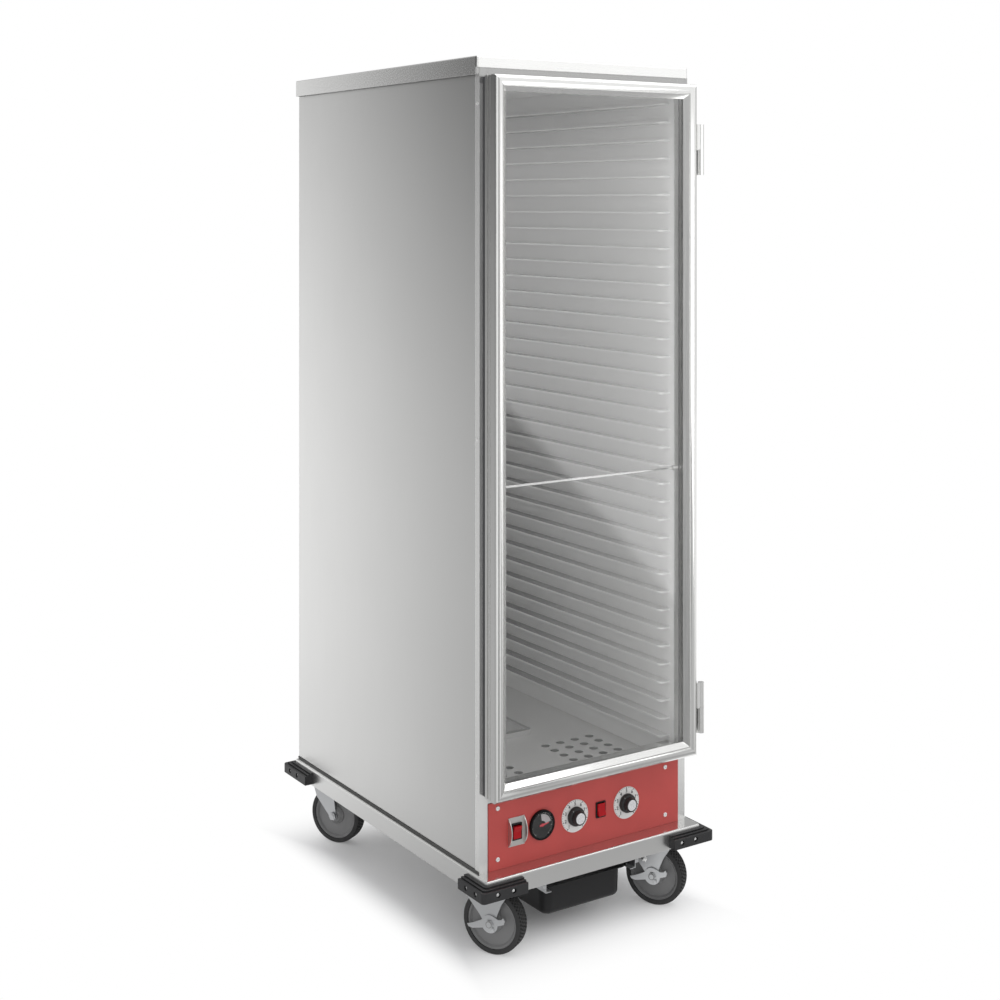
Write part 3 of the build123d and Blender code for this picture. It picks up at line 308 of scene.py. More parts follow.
def post_metal(name, colour, rough):
    """Smooth folded sheet of the door frame; the front faces of its header are painted darker, as a painted
    shade of the cap.
    """
    material = metal(name, colour, rough, depth=0.01, spread=0.01, metallic=0.75)
    tree = material.node_tree
    high = ramp(tree, split_vector(tree, place_of(tree))["Z"], HEADER_FOOT, HEADER_FOOT + 0.002)
    forward = ramp(tree, split_vector(tree, normal_of(tree))["Y"], -0.6, -0.8)
    # painted shade of the cap over the header's front faces
    paint_over(material, product(tree, high, forward), shade(colour, HEADER_PAINTED_SHADE))
    return material


def slide_metal(name, colour, rough):
    """Ledges whose flat faces are painted darker, more so towards the back, as painted shade."""
    material = metal(name, colour, rough, grain=GRAIN_DEEP, depth=0.02, edge=0.0003, metallic=0.25)
    tree = material.node_tree
    level = math_node(tree, "ABSOLUTE", split_vector(tree, normal_of(tree))["Z"])
    deep = map_range(tree, split_vector(tree, place_of(tree))["Y"], *PAINTED_SHADE_REACH, 0.15, 0.90)
    # painted shade on the flat faces, deeper towards the back
    paint_over(material, product(tree, ramp(tree, level, 0.6, 0.9), deep), PAINTED_LEDGE_SHADE)
    return material


def deck_metal(name, colour, rough, top_rough):
    """Satin metal whose upward faces are polished, so that the deck mirrors what stands on it."""
    material = metal(name, colour, rough, depth=0.02, edge=0.0015, spread=0.02)
    tree = material.node_tree
    roughness = tree.nodes["Principled BSDF"].inputs["Roughness"]
    upward = ramp(tree, split_vector(tree, normal_of(tree))["Z"], 0.7, 0.95)
    feed(tree, mix_number(tree, upward, roughness.links[0].from_socket, top_rough), roughness)
    return material


def moulded(name, colour, rough, stipple=1400.0, depth=0.15, edge=0.0008, wear=1.8, spread=0.06,
            specular=0.5):
    """Plastic, rubber or enamel with a fine stipple and slightly paler worn edges."""
    material, shader = surfaced(name, "moulded_surface", colour, MOULDED_TONES, wear, "Patches", rough,
                                spread, (stipple, depth, MOULDED_PATCH, edge))
    shader.inputs["Specular IOR Level"].default_value = specular
    return material


def dust_and_glint_rubber(name, colour, rough):
    """Tyre rubber: moulded, with pale grey patches and very pale edges that stand for floor dust and also
    paint glints of light on the tread.
    """
    material = moulded(name, colour, rough, stipple=700.0, depth=0.35, edge=0.0012, wear=10.0, specular=0.4)
    tree = material.node_tree
    spots = noise(tree, place_of(tree), 60.0, 4.0, 0.6)
    # pale patches: floor dust, and painted glints of light
    paint_over(material, map_range(tree, spots, 0.5, 0.75, 0.0, 0.22), DUST_AND_GLINT)
    return material


def lit_plastic(name, colour, glow):
    """Glossy translucent plastic with a lamp behind it."""
    material = moulded(name, colour, 0.28, depth=0.02, wear=1.5, spread=0.03, specular=0.2)
    shader = material.node_tree.nodes["Principled BSDF"]
    shader.inputs["Emission Color"].default_value = (*colour, 1)
    shader.inputs["Emission Strength"].default_value = glow
    return material


def clear_glass(name, tint, index):
    """Clear glass or polycarbonate that lets light reach what is behind it."""
    material, tree, shader = blank_material(name)
    for title, value in (("Base Color", (*tint, 1)), ("Roughness", 0.0), ("IOR", index),
                         ("Transmission Weight", 1.0)):
        shader.inputs[title].default_value = value
    passing = add_node(tree, "ShaderNodeBsdfTransparent")
    passing.inputs[0].default_value = (*tint, 1)
    path = add_node(tree, "ShaderNodeLightPath").outputs
    light_ray = math_node(tree, "MAXIMUM", path["Is Shadow Ray"], path["Is Diffuse Ray"])
    mix_shaders(tree, light_ray, shader, passing)
    return material


def turned_metal(name, colour, rough):
    """Small turned face: fine rings about its own middle, read from the piece's UV map."""
    material, tree, shader = blank_material(name)
    rings = node_out(tree, "ShaderNodeTexWave", {"Vector": place_of(tree, "UV"), "Scale": 2.5}, "Fac",
                     wave_type="RINGS", rings_direction="SPHERICAL")
    feed(tree, map_range(tree, rings, 0.0, 1.0, rough - 0.05, rough + 0.06), shader.inputs["Roughness"])
    feed(tree, bumped(tree, rings, 0.0001, 0.12), shader.inputs["Normal"])
    feed(tree, mix_colour(tree, rings, shade(colour, 0.94), colour), shader.inputs["Base Color"])
    shader.inputs["Metallic"].default_value = 0.6
    return material


def glass_wool(name):
    """Yellowish mineral wool."""
    material, tree, shader = blank_material(name)
    strands = noise(tree, place_of(tree), 240.0, 6.0, 0.7)
    feed(tree, mix_colour(tree, strands, *WOOL_COLOURS), shader.inputs["Base Color"])
    feed(tree, bumped(tree, strands, 0.002), shader.inputs["Normal"])
    shader.inputs["Roughness"].default_value = 0.95
    return material


def build_finishes(finish):
    """Makes every material of the cabinet."""
    aluminium, black = tuple(finish.aluminium), tuple(finish.plastic)
    metal("side_sheet", aluminium, 0.34, depth=0.05, patch=2.0)
    metal("cap_sheet", shade(aluminium, 1.18), 0.26, grain=GRAIN_ACROSS, depth=0.04)
    metal("bright_sheet", shade(aluminium, 1.05), 0.22, depth=0.03)
    post_metal("post_sheet", shade(aluminium, 1.15), 0.22)
    metal("door_extrusion", shade(aluminium, 1.02), 0.18, depth=0.03, edge=0.0006)
    metal("cabin_sheet", shade(aluminium, 1.25), 0.42, grain=GRAIN_DEEP, depth=0.01, metallic=0.06)
    metal("floor_sheet", shade(aluminium, 0.86), 0.36, grain=GRAIN_DEEP, depth=0.01, metallic=0.35)
    slide_metal("slide_sheet", shade(aluminium, 1.25), 0.40)
    deck_metal("deck_sheet", aluminium, 0.30, 0.14)
    metal("bright_steel", (0.82, 0.82, 0.82), 0.20, depth=0.03)
    metal("zinc_plate", (0.66, 0.67, 0.68), 0.36, depth=0.12, edge=0.0006)
    metal("hinge_steel", (0.82, 0.82, 0.81), 0.24, depth=0.05, edge=0.0005)
    metal("guard_metal", (0.74, 0.72, 0.70), 0.34, depth=0.10, edge=0.0005)
    moulded("black_enamel_and_hole_shade", (0.04, 0.04, 0.045), 0.35)
    moulded("red_enamel", tuple(finish.panel_red), 0.30, stipple=500.0, depth=0.05, edge=0.0005, wear=1.3,
            spread=0.01)
    moulded("black_plastic", shade(black, 0.8), 0.34, depth=0.08, edge=0.0004, wear=2.6, specular=0.3)
    moulded("black_gloss", shade(black, 0.4), 0.12, depth=0.01, edge=0.0004, wear=2.5, spread=0.02,
            specular=0.12)
    lit_plastic("lamp_plastic", tuple(finish.lamp_red), 0.22)
    moulded("needle_paint", (0.65, 0.03, 0.05), 0.35, edge=0.0002, wear=1.2)
    moulded("tray_plastic", shade(black, 0.8), 0.45, stipple=900.0, depth=0.25, specular=0.3)
    moulded("bumper_rubber", shade(black, 1.2), 0.42, stipple=800.0, depth=0.3, wear=3.0)
    moulded("gasket_rubber", (0.07, 0.07, 0.072), 0.6)
    dust_and_glint_rubber("tyre_rubber", black, 0.62)
    moulded("hub_plastic", tuple(finish.hub_grey), 0.38, stipple=600.0, depth=0.15, wear=1.4)
    moulded("dark_foot_bead", (0.09, 0.09, 0.088), 0.6, wear=1.4)
    # pale sector that paints the reflection in the thermometer's lens
    moulded("lens_reflection_paint", (0.42, 0.38, 0.38), 0.5, depth=0.02, edge=0.0001)
    moulded("dial_paint", (0.74, 0.73, 0.71), 0.35, depth=0.03, edge=0.0003, wear=1.1, spread=0.03)
    metal("screw_steel", (1.0, 1.0, 0.98), 0.25, depth=0.03, edge=0.0003, metallic=0.6)
    moulded("mark_paint", (0.02, 0.02, 0.02), 0.45, depth=0.02, edge=0.0001)
    moulded("pale_paint", (0.55, 0.54, 0.52), 0.45, depth=0.02, edge=0.0001)
    turned_metal("cap_silver", (0.97, 0.97, 0.98), 0.22)
    clear_glass("door_clear", (0.99, 0.99, 0.985), 1.68)
    clear_glass("lens_clear", (0.96, 0.97, 0.97), 1.28)
    glass_wool("wool")


NODE_FINISHES = {
    "side_sheet": ("side_skins", "back_skin"),
    "cap_sheet": ("top_cap",),
    "bright_sheet": ("front_sill",),
    "post_sheet": ("front_frame",),
    "door_extrusion": ("door_stiles", "door_rails"),
    "cabin_sheet": ("side_liners", "back_liner", "ceiling_liner"),
    "floor_sheet": ("floor_plate",),
    "slide_sheet": ("pan_slides",),
    "deck_sheet": ("base_frame", "caster_channels"),
    "bright_steel": ("tie_rod", "water_pan"),
    "screw_steel": ("panel_screws", "bumper_screws", "post_rivets"),
    "zinc_plate": ("caster_plates", "tray_rails", "heating_element", "fan_wheel"),
    "hinge_steel": ("hinge_body_leaves", "hinge_door_leaves"),
    "guard_metal": ("switch_guard",),
    "dial_paint": ("dial_plates",),
    # the control chassis takes black enamel so that the floor's holes read dark: painted shade under the
    # floor
    "black_enamel_and_hole_shade": ("fan_motor", "control_chassis"),
    "red_enamel": ("control_panel",),
    "black_plastic": ("cord_inlet", "power_switch_body", "mode_switch_body", "thermostats",
                      "heat_knob", "proof_knob"),
    "black_gloss": ("thermometer_case",),
    "lamp_plastic": ("power_rocker", "mode_rocker"),
    "needle_paint": ("thermometer_needle",),
    "tray_plastic": ("drip_tray",),
    "bumper_rubber": ("corner_bumpers",),
    "gasket_rubber": ("door_gasket",),
    "door_clear": ("door_pane",),
    "lens_clear": ("thermometer_lens",),
    "wool": ("insulation",),
}
CORNER_FINISHES = {"fork": "zinc_plate", "brake_lever": "zinc_plate", "tyre": "tyre_rubber",
                   "hub": "hub_plastic"}


def give_finish(node, finish):
    """Puts a finish on a construction node."""
    mesh = frame["nodes"][node].data
    mesh.materials.clear()
    mesh.materials.append(FINISHES[finish])


# ---- mesh helpers

def dial_turn(degrees):
    """Matrix that turns a dial mark to its angle, anticlockwise from the right."""
    return Matrix.Rotation(math.radians(degrees), 4, "Z")


def facing(direction, place):
    """Matrix that turns local +Z to a direction and moves the origin to a place."""
    turn = Vector((0, 0, 1)).rotation_difference(Vector(direction)).to_matrix().to_4x4()
    return Matrix.Translation(Vector(place)) @ turn


def front_face(place):
    """Matrix of a dial plane: local X stays right, local Y goes up and local Z comes forward."""
    return Matrix.Translation(Vector(place)) @ Matrix.Rotation(math.pi / 2, 4, "X")


def ring_of(bm, profile, steps, matrix=Matrix(), shape=None):
    """Spins a profile of (radius, height) millimetres a full turn about local Z, then places it.

    shape may move the new vertices before they are placed."""
    before = set(bm.verts)
    corners = [bm.verts.new((radius * MM, 0, height * MM)) for radius, height in profile]
    edges = [bm.edges.new(pair) for pair in zip(corners, corners[1:])]
    bmesh.ops.spin(bm, geom=corners + edges, cent=(0, 0, 0), axis=(0, 0, 1), angle=2 * math.pi,
                   steps=steps, use_merge=True, use_duplicate=False)
    bmesh.ops.remove_doubles(bm, verts=[vert for vert in bm.verts if vert not in before], dist=1e-6)
    made = [vert for vert in bm.verts if vert not in before]
    if shape:
        shape(made)
    bmesh.ops.transform(bm, matrix=matrix, verts=made)
    return made


def sector_of(bm, inner, outer, start, span, height, matrix):
    """A thin flat sector about local Z, in millimetres and degrees."""
    before = set(bm.verts)
    turn = Matrix.Rotation(math.radians(start), 4, "Z")
    section = [(inner, 0), (outer, 0), (outer, height), (inner, height)]
    corners = [bm.verts.new(turn @ Vector((radius * MM, 0, rise * MM))) for radius, rise in section]
    face = bm.faces.new(corners)
    bmesh.ops.spin(bm, geom=[face, *face.edges, *corners], cent=(0, 0, 0), axis=(0, 0, 1),
                   angle=math.radians(span), steps=24, use_duplicate=False)
    made = [vert for vert in bm.verts if vert not in before]
    bmesh.ops.transform(bm, matrix=matrix, verts=made)


def solid_boxes(node):
    """(lowest, highest) corner of each separate solid of a construction node."""
    bm = bmesh.new()
    bm.from_mesh(frame["nodes"][node].data)
    bmesh.ops.remove_doubles(bm, verts=bm.verts, dist=1e-6)
    left = set(bm.verts)
    boxes = []
    while left:
        reached = [left.pop()]
        for vert in reached:
            for edge in vert.link_edges:
                other = edge.other_vert(vert)
                if other in left:
                    left.remove(other)
                    reached.append(other)
        boxes.append(tuple(Vector(pick(vert.co[axis] for vert in reached) for axis in range(3))
                           for pick in (min, max)))
    bm.free()
    return boxes


def outward(box, axis):
    """(direction, place) of a solid's outer end along an axis, which is 0 for X or 1 for Y."""
    middle = (box[0] + box[1]) / 2
    direction = Vector((0, 0, 0))
    direction[axis] = math.copysign(1.0, middle[axis])
    place = middle.copy()
    place[axis] = box[1][axis] if middle[axis] > 0 else box[0][axis]
    return direction, place


def beside_axle(corner, along, up, out):
    """Matrix beside a front caster's wheel: local Z points out along the axle, local Y up."""
    joint = JOINTS[f"{corner}_wheel_spin"]
    axle = Vector(joint["axis"])
    trail = Vector((-axle.y, axle.x, 0))
    place = Vector(joint["pos_m"]) + (trail * along + axle * out) * MM + Vector((0, 0, up * MM))
    turn = Matrix((trail, (0, 0, 1), axle)).transposed().to_4x4()
    return Matrix.Translation(place) @ turn


FIGURE_WEIGHT = 50  # a figure's height over what is added to each side of its strokes


def numeral(bm, text, size, thickness, matrix):
    """A plain figure, centred on local Z."""
    letters = bpy.data.curves.new("numeral", "FONT")
    letters.body = text
    letters.size = size
    letters.extrude = thickness / 2
    letters.offset = size / FIGURE_WEIGHT
    letters.align_x = letters.align_y = "CENTER"
    holder = bpy.data.objects.new("numeral", letters)
    mesh = bpy.data.meshes.new_from_object(holder)
    mesh.transform(matrix)
    bm.from_mesh(mesh)
    bpy.data.objects.remove(holder)
    bpy.data.curves.remove(letters)
    bpy.data.meshes.remove(mesh)


def block(bm, size, matrix):
    """A box of that size, placed by a matrix."""
    bmesh.ops.create_cube(bm, size=1, matrix=matrix @ Matrix.Diagonal((*size, 1)))


def tick(bm, face, angle, inner, outer, width, height):
    """A printed line of a dial, between two radii in millimetres."""
    turned = face @ dial_turn(angle)
    block(bm, ((outer - inner) * MM, width * MM, height),
          turned @ Matrix.Translation(((outer + inner) / 2 * MM, 0, height / 2)))


def round_edges(bm, edges, radius, segments):
    """Rounds some edges to a radius in millimetres."""
    bmesh.ops.bevel(bm, geom=edges, offset=radius * MM, segments=segments, profile=0.5,
                    affect="EDGES", material=-1)


def new_object(name, bm, finish):
    """Turns a bmesh into an object in the scene.

    It takes the material of that name. Where the construction brings one of the same name, it is that one.
    """
    mesh = bpy.data.meshes.new(name)
    bm.to_mesh(mesh)
    bm.free()
    mesh.materials.append(bpy.data.materials[finish])
    made = bpy.data.objects.new(name, mesh)
    bpy.context.scene.collection.objects.link(made)
    return made


def piece(name, bm, finish, body, replaced=(), smooth_angle=35.0):
    """Makes a bmesh a piece with that finish, which rides on a body and stands for some nodes."""
    bmesh.ops.remove_doubles(bm, verts=bm.verts, dist=1e-6)
    bmesh.ops.recalc_face_normals(bm, faces=bm.faces)
    made = new_object(name, bm, finish)
    made.data.shade_smooth()
    made.data.set_sharp_from_angle(angle=math.radians(smooth_angle))
    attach(made, body)
    if replaced:
        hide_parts(*replaced)


# ---- pieces

class CABINET_OT_finishes(bpy.types.Operator):
    """Builds the shared node groups and every finish, and puts them on the construction"""
    bl_idname = "cabinet.finishes"
    bl_label = "Finishes"

    def execute(self, context):
        surface_group("worked_metal", brushed_lines, VECTOR, (900, 900, 12), 0.1, 3.0, 0.45)
        surface_group("moulded_surface", even_stipple, NUMBER, 1400.0, 0.2, 14.0, 0.5)
        build_finishes(context.scene.cabinet_finish)
        for finish, nodes in NODE_FINISHES.items():
            for node in nodes:
                give_finish(node, finish)
        for part, finish in CORNER_FINISHES.items():
            for node in frame["nodes"]:
                if node.startswith(CORNERS) and node.endswith(part):
                    give_finish(node, finish)
        return {"FINISHED"}


TYRE_SECTION = ((53.0, -16.0), (58.5, -16.0), (60.4, -15.6), (62.0, -14.5), (63.1, -12.9), (63.5, -11.0),
                (63.5, -4.0), (63.5, 4.0), (63.5, 11.0), (63.1, 12.9), (62.0, 14.5), (60.4, 15.6),
                (58.5, 16.0), (53.0, 16.0), (53.0, -16.0))


TREAD_INSIDE = 61.8  # millimetres; the fields further out than this belong to the tread
TREAD_ROW = 7.5
CUT_SLOPE = 0.5


def cut_tread(bm, blocks, depth):
    """Sinks every other field of the tread and its shoulders."""
    bmesh.ops.recalc_face_normals(bm, faces=bm.faces)
    chosen = []
    for face in bm.faces:
        middle = face.calc_center_median()
        if math.hypot(middle.x, middle.y) > TREAD_INSIDE * MM:
            field = math.floor(math.atan2(middle.y, middle.x) / (2 * math.pi) * blocks * 2)
            row = round(middle.z / (TREAD_ROW * MM))
            if (field + row) % 2:
                chosen.append(face)
    bmesh.ops.inset_individual(bm, faces=chosen, thickness=CUT_SLOPE * MM, depth=-depth,
                               use_even_offset=True)


class CABINET_OT_tyres(bpy.types.Operator):
    """Four rubber tyres with a block tread"""
    bl_idname = "cabinet.tyres"
    bl_label = "Tyres"

    def execute(self, context):
        detail = context.scene.cabinet_detail
        for corner in CORNERS:
            bm = bmesh.new()
            ring_of(bm, TYRE_SECTION, 2 * detail.tread_blocks)
            cut_tread(bm, detail.tread_blocks, detail.tread_depth)
            joint = JOINTS[f"{corner}_wheel_spin"]
            bmesh.ops.transform(bm, matrix=facing(joint["axis"], joint["pos_m"]), verts=bm.verts)
            piece(f"{corner}_block_tyre", bm, "tyre_rubber", f"{corner}_wheel",
                  (f"{corner}_tyre",))
        return {"FINISHED"}


# Places beside a front wheel are millimetres along its trail, up, and out from its middle.
COLLAR_PLACE = (0, 0, 27.5)
COLLAR_SECTION = ((5.1, 0), (6.9, 0), (6.9, 1.0), (6.1, 1.5), (5.1, 1.5), (5.1, 0))
LUG_PLACE = (6, -9.5, 25.9)
LUG_SIZE = Vector((8, 8, 2.4)) * MM
BOLT_PLACE = (-19, 33, 22.0)
BOLT_SECTION = ((0, -0.5), (7.2, -0.5), (7.2, 0.9), (4.9, 1.1), (4.9, 3.9), (4.3, 4.5), (2.8, 4.6),
                (2.6, 5.8), (0, 6.0))


class CABINET_OT_caster_details(bpy.types.Operator):
    """Nut collars and stop lugs of the two brake pedals, and the right fork's lock bolt"""
    bl_idname = "cabinet.caster_details"
    bl_label = "Caster details"

    def execute(self, context):
        for corner in FRONT_CORNERS:
            bm = bmesh.new()
            ring_of(bm, COLLAR_SECTION, 32, beside_axle(corner, *COLLAR_PLACE))
            piece(f"{corner}_nut_collar", bm, "hub_plastic", f"{corner}_swivel")
            bm = bmesh.new()
            block(bm, LUG_SIZE, beside_axle(corner, *LUG_PLACE))
            round_edges(bm, bm.edges[:], 0.8, 3)
            piece(f"{corner}_pedal_lug", bm, "zinc_plate", f"{corner}_brake")
        bm = bmesh.new()
        ring_of(bm, BOLT_SECTION, 6, beside_axle("front_right", *BOLT_PLACE))
        round_edges(bm, bm.edges[:], 0.25, 2)
        piece("fork_lock_bolt", bm, "bright_steel", "front_right_swivel")
        return {"FINISHED"}


# Heights of a knob's sections are millimetres in front of the back of its skirt.
GRIP_HEIGHT = 19
GRIP_SECTION = ((0, -26), (3, -26), (3, 0), (18.5, 0), (19, 0.5), (19, 6.0), (18.3, 7.2), (15.6, 7.8),
                (14.6, 8.8), (14.2, 17.2), (13.2, 18.4), (11.2, 18.7), (11.0, 18.1), (0, 18.1))
FLUTED = (8.5 * MM, 17.5 * MM)  # heights between which the grip's wall is fluted
FLUTE_DEPTH = 1.1 * MM
CAP_RADIUS = 10.8
CAP_SECTION = ((0, 18.0), (CAP_RADIUS, 18.0), (CAP_RADIUS, 18.6), (10.3, 18.95), (6.5, 18.75), (0, 18.6))
POINTER_ANGLE = 128  # degrees, where a knob's pointer stands at rest
POINTER_PLACE = Vector((16.9, 0, 7.75)) * MM
POINTER_SIZE = Vector((2.6, 0.9, 0.3)) * MM


def sink_flutes(verts, count):
    """Pulls every other upright line of the grip's wall inwards."""
    low, high = FLUTED
    for vert in verts:
        if low < vert.co.z < high:
            angle = math.atan2(vert.co.y, vert.co.x)
            if round(angle / (2 * math.pi) * count * 2) % 2:
                radius = math.hypot(vert.co.x, vert.co.y)
                vert.co.xy *= (radius - FLUTE_DEPTH) / radius


class CABINET_OT_knobs(bpy.types.Operator):
    """Two thermostat knobs: a fluted grip on a skirt, a turned front cap and a pointer line"""
    bl_idname = "cabinet.knobs"
    bl_label = "Thermostat knobs"

    def execute(self, context):
        flutes = context.scene.cabinet_detail.knob_flutes
        for name in ("heat_knob", "proof_knob"):
            low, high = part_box(name)
            middle = (low + high) / 2
            place = front_face((middle.x, low.y + GRIP_HEIGHT * MM, middle.z))
            bm = bmesh.new()
            ring_of(bm, GRIP_SECTION, 2 * flutes, place, lambda verts: sink_flutes(verts, flutes))
            piece(f"{name}_grip", bm, "black_plastic", name, (name,), 40)
            bm = bmesh.new()
            ring_of(bm, CAP_SECTION, 48)
            layer = bm.loops.layers.uv.new("turned")
            for face in bm.faces:
                for loop in face.loops:
                    loop[layer].uv = loop.vert.co.xy / (CAP_RADIUS * MM)
            bmesh.ops.transform(bm, matrix=place, verts=bm.verts)
            piece(f"{name}_cap", bm, "cap_silver", name)
            bm = bmesh.new()
            block(bm, POINTER_SIZE, place @ dial_turn(POINTER_ANGLE) @ Matrix.Translation(POINTER_PLACE))
            round_edges(bm, bm.edges[:], 0.1, 2)
            piece(f"{name}_pointer", bm, "pale_paint", name)
        return {"FINISHED"}


SCALE_START = 232  # degrees, where a thermostat scale begins, running clockwise
SCALE_SPAN = 284
SCALE_RADIUS = 31.6  # millimetres, to the outer end of its ticks
LONG_TICK = (28.6, 1.7)  # radius of a tick's inner end, and its width
SHORT_TICK = (30.0, 0.9)
FIGURES = 9
FIGURE_RADIUS = 24.4
FIGURE_HEIGHT = 9.4


class CABINET_OT_dials(bpy.types.Operator):
    """Ticks and plain figures round the two thermostat scale plates"""
    bl_idname = "cabinet.dials"
    bl_label = "Dial scales"

    def execute(self, context):
        height = context.scene.cabinet_detail.mark_height
        bm = bmesh.new()
        for low, high in solid_boxes("dial_plates"):
            middle = (low + high) / 2
            face = front_face((middle.x, low.y, middle.z))
            ticks = 4 * (FIGURES - 1)
            for step in range(ticks + 1):
                inner, width = SHORT_TICK if step % 4 else LONG_TICK
                tick(bm, face, SCALE_START - SCALE_SPAN * step / ticks, inner, SCALE_RADIUS, width, height)
            for figure in range(FIGURES):
                angle = SCALE_START - SCALE_SPAN * figure / (FIGURES - 1)
                out = Matrix.Translation((FIGURE_RADIUS * MM, 0, height / 2))
                upright = dial_turn(angle) @ out @ dial_turn(-angle)
                numeral(bm, str(figure + 1), FIGURE_HEIGHT * MM, height, face @ upright)
        piece("dial_marks", bm, "mark_paint", "cabinet", smooth_angle=20)
        return {"FINISHED"}


GAUGE_DEPTH = 2.1  # millimetres from the back of the lens to the printed dial
GAUGE_START = 230  # degrees, where its ticks begin, running clockwise
GAUGE_STEP = 10
GAUGE_TICKS = 29
GAUGE_RADIUS = 24.0
LONG_GAUGE_TICK = (21.4, 0.7)
SHORT_GAUGE_TICK = (22.6, 0.35)
# a pale sector painted on the dial as the reflection in the thermometer's lens
REFLECTION_RADII = (8.0, 20.4)
REFLECTION_ANGLES = (12, 84)  # degrees, its start and its span


class CABINET_OT_thermometer(bpy.types.Operator):
    """Printed scale of the dial thermometer: pale ticks, and one pale sector that paints the reflection in
    its lens
    """
    bl_idname = "cabinet.thermometer"
    bl_label = "Thermometer scale"

    def execute(self, context):
        height = context.scene.cabinet_detail.mark_height
        low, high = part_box("thermometer_case")
        middle = (low + high) / 2
        dial = front_face((middle.x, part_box("thermometer_lens")[1].y + GAUGE_DEPTH * MM, middle.z))
        bm = bmesh.new()
        for step in range(GAUGE_TICKS):
            inner, width = SHORT_GAUGE_TICK if step % 4 else LONG_GAUGE_TICK
            tick(bm, dial, GAUGE_START - GAUGE_STEP * step, inner, GAUGE_RADIUS, width, height)
        piece("thermometer_ticks", bm, "pale_paint", "cabinet", smooth_angle=20)
        bm = bmesh.new()
        sector_of(bm, *REFLECTION_RADII, *REFLECTION_ANGLES, height / MM, dial)
        piece("thermometer_lens_reflection", bm, "lens_reflection_paint", "cabinet", smooth_angle=20)
        return {"FINISHED"}


SCREW_SECTION = ((0, -21), (2, -21), (2, -2.4), (3.9, -2.4), (3.9, -1.3), (3.5, -0.6), (2.6, -0.1),
                 (1.9, 0), (1.5, -1.1), (0, -1.1))
RIVET_SECTION = ((0, -1.3), (3.2, -1.3), (3.15, -0.9), (2.5, -0.35), (1.5, -0.02), (1.0, -0.02),
                 (0.8, -0.5), (0, -0.5))
RIVET_HEIGHT = 1.3 * MM
BACK_RIVETS = 9  # up each side of the back
BACK_RIVET_FOOT = 0.05  # metres from the back's foot to the lowest
BACK_RIVET_HEAD = 0.09  # and from the highest to its top
BACK_RIVET_MARGIN = 0.016


class CABINET_OT_screws(bpy.types.Operator):
    """Socket screws of the corner bumpers, and domed blind rivets of the corner posts and the back"""
    bl_idname = "cabinet.screws"
    bl_label = "Screws and rivets"

    def execute(self, context):
        bm = bmesh.new()
        for box in solid_boxes("bumper_screws"):
            size = box[1] - box[0]
            axis = 0 if size.x > size.y else 1
            shank = size[axis] / MM
            profile = [(radius, max(height, -shank)) for radius, height in SCREW_SECTION]
            ring_of(bm, profile, 18, facing(*outward(box, axis)))
        piece("bumper_socket_screws", bm, "screw_steel", "cabinet", ("bumper_screws",))
        bm = bmesh.new()
        for box in solid_boxes("post_rivets"):
            ring_of(bm, RIVET_SECTION, 24, facing(*outward(box, 0)))
        piece("post_rivet_heads", bm, "screw_steel", "cabinet", ("post_rivets",))
        bm = bmesh.new()
        low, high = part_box("back_skin")
        foot, head = low.z + BACK_RIVET_FOOT, high.z - BACK_RIVET_HEAD
        for side in (-1, 1):
            for step in range(BACK_RIVETS):
                spot = (side * (high.x - BACK_RIVET_MARGIN), high.y + RIVET_HEIGHT,
                        foot + (head - foot) * step / (BACK_RIVETS - 1))
                ring_of(bm, RIVET_SECTION, 24, facing((0, 1, 0), spot))
        piece("back_rivet_heads", bm, "screw_steel", "cabinet")
        return {"FINISHED"}


TAB_HEAD = 21.0  # millimetres from the top of the cap to the head of a corner tab
TAB_FOOT = 36.0
TAB_DEPTH = 3.4  # from the front of the cap to the middle of the tab
TAB_THICKNESS = 3.6
TAB_GAP = 0.3


class CABINET_OT_cap_tabs(bpy.types.Operator):
    """Folded tabs that close the cap's front corners"""
    bl_idname = "cabinet.cap_tabs"
    bl_label = "Cap corner tabs"

    def execute(self, context):
        cap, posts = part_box("top_cap"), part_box("front_frame")
        width = cap[1].x - posts[1].x
        across, deep = posts[1].x + width / 2, cap[0].y + TAB_DEPTH * MM
        height = cap[1].z - (TAB_FOOT + TAB_HEAD) / 2 * MM
        size = (width - TAB_GAP * MM, TAB_THICKNESS * MM, (TAB_FOOT - TAB_HEAD) * MM)
        bm = bmesh.new()
        for side in (-1, 1):
            block(bm, size, Matrix.Translation((side * across, deep, height)))
        front = [edge for edge in bm.edges if all(vert.co.y < deep for vert in edge.verts)]
        round_edges(bm, front, 0.8, 3)
        # the tabs take the door frame's finish, so their fronts get its painted shade of the cap
        piece("cap_corner_tabs", bm, "post_sheet", "cabinet")
        return {"FINISHED"}


FOOT_BEAD_HEIGHT = 4.0 * MM
FOOT_BEAD_REACH = 1.6 * MM


class CABINET_OT_foot_beads(bpy.types.Operator):
    """Dark bead along the foot of the side and back skins"""
    bl_idname = "cabinet.seals"
    bl_label = "Dark foot beads"

    def execute(self, context):
        low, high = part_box("side_skins")
        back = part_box("back_skin")[1].y
        middle = low.z + FOOT_BEAD_HEIGHT / 2
        bm = bmesh.new()
        for side in (-1, 1):
            block(bm, (FOOT_BEAD_REACH, high.y - low.y, FOOT_BEAD_HEIGHT),
                  Matrix.Translation((side * (high.x + FOOT_BEAD_REACH / 2), (low.y + high.y) / 2, middle)))
        block(bm, (high.x - low.x + 2 * FOOT_BEAD_REACH, FOOT_BEAD_REACH, FOOT_BEAD_HEIGHT),
              Matrix.Translation((0, back + FOOT_BEAD_REACH / 2, middle)))
        upper = [edge for edge in bm.edges if all(vert.co.z > middle for vert in edge.verts)]
        round_edges(bm, upper, 1.2, 3)
        piece("dark_foot_beads", bm, "dark_foot_bead", "cabinet")
        return {"FINISHED"}


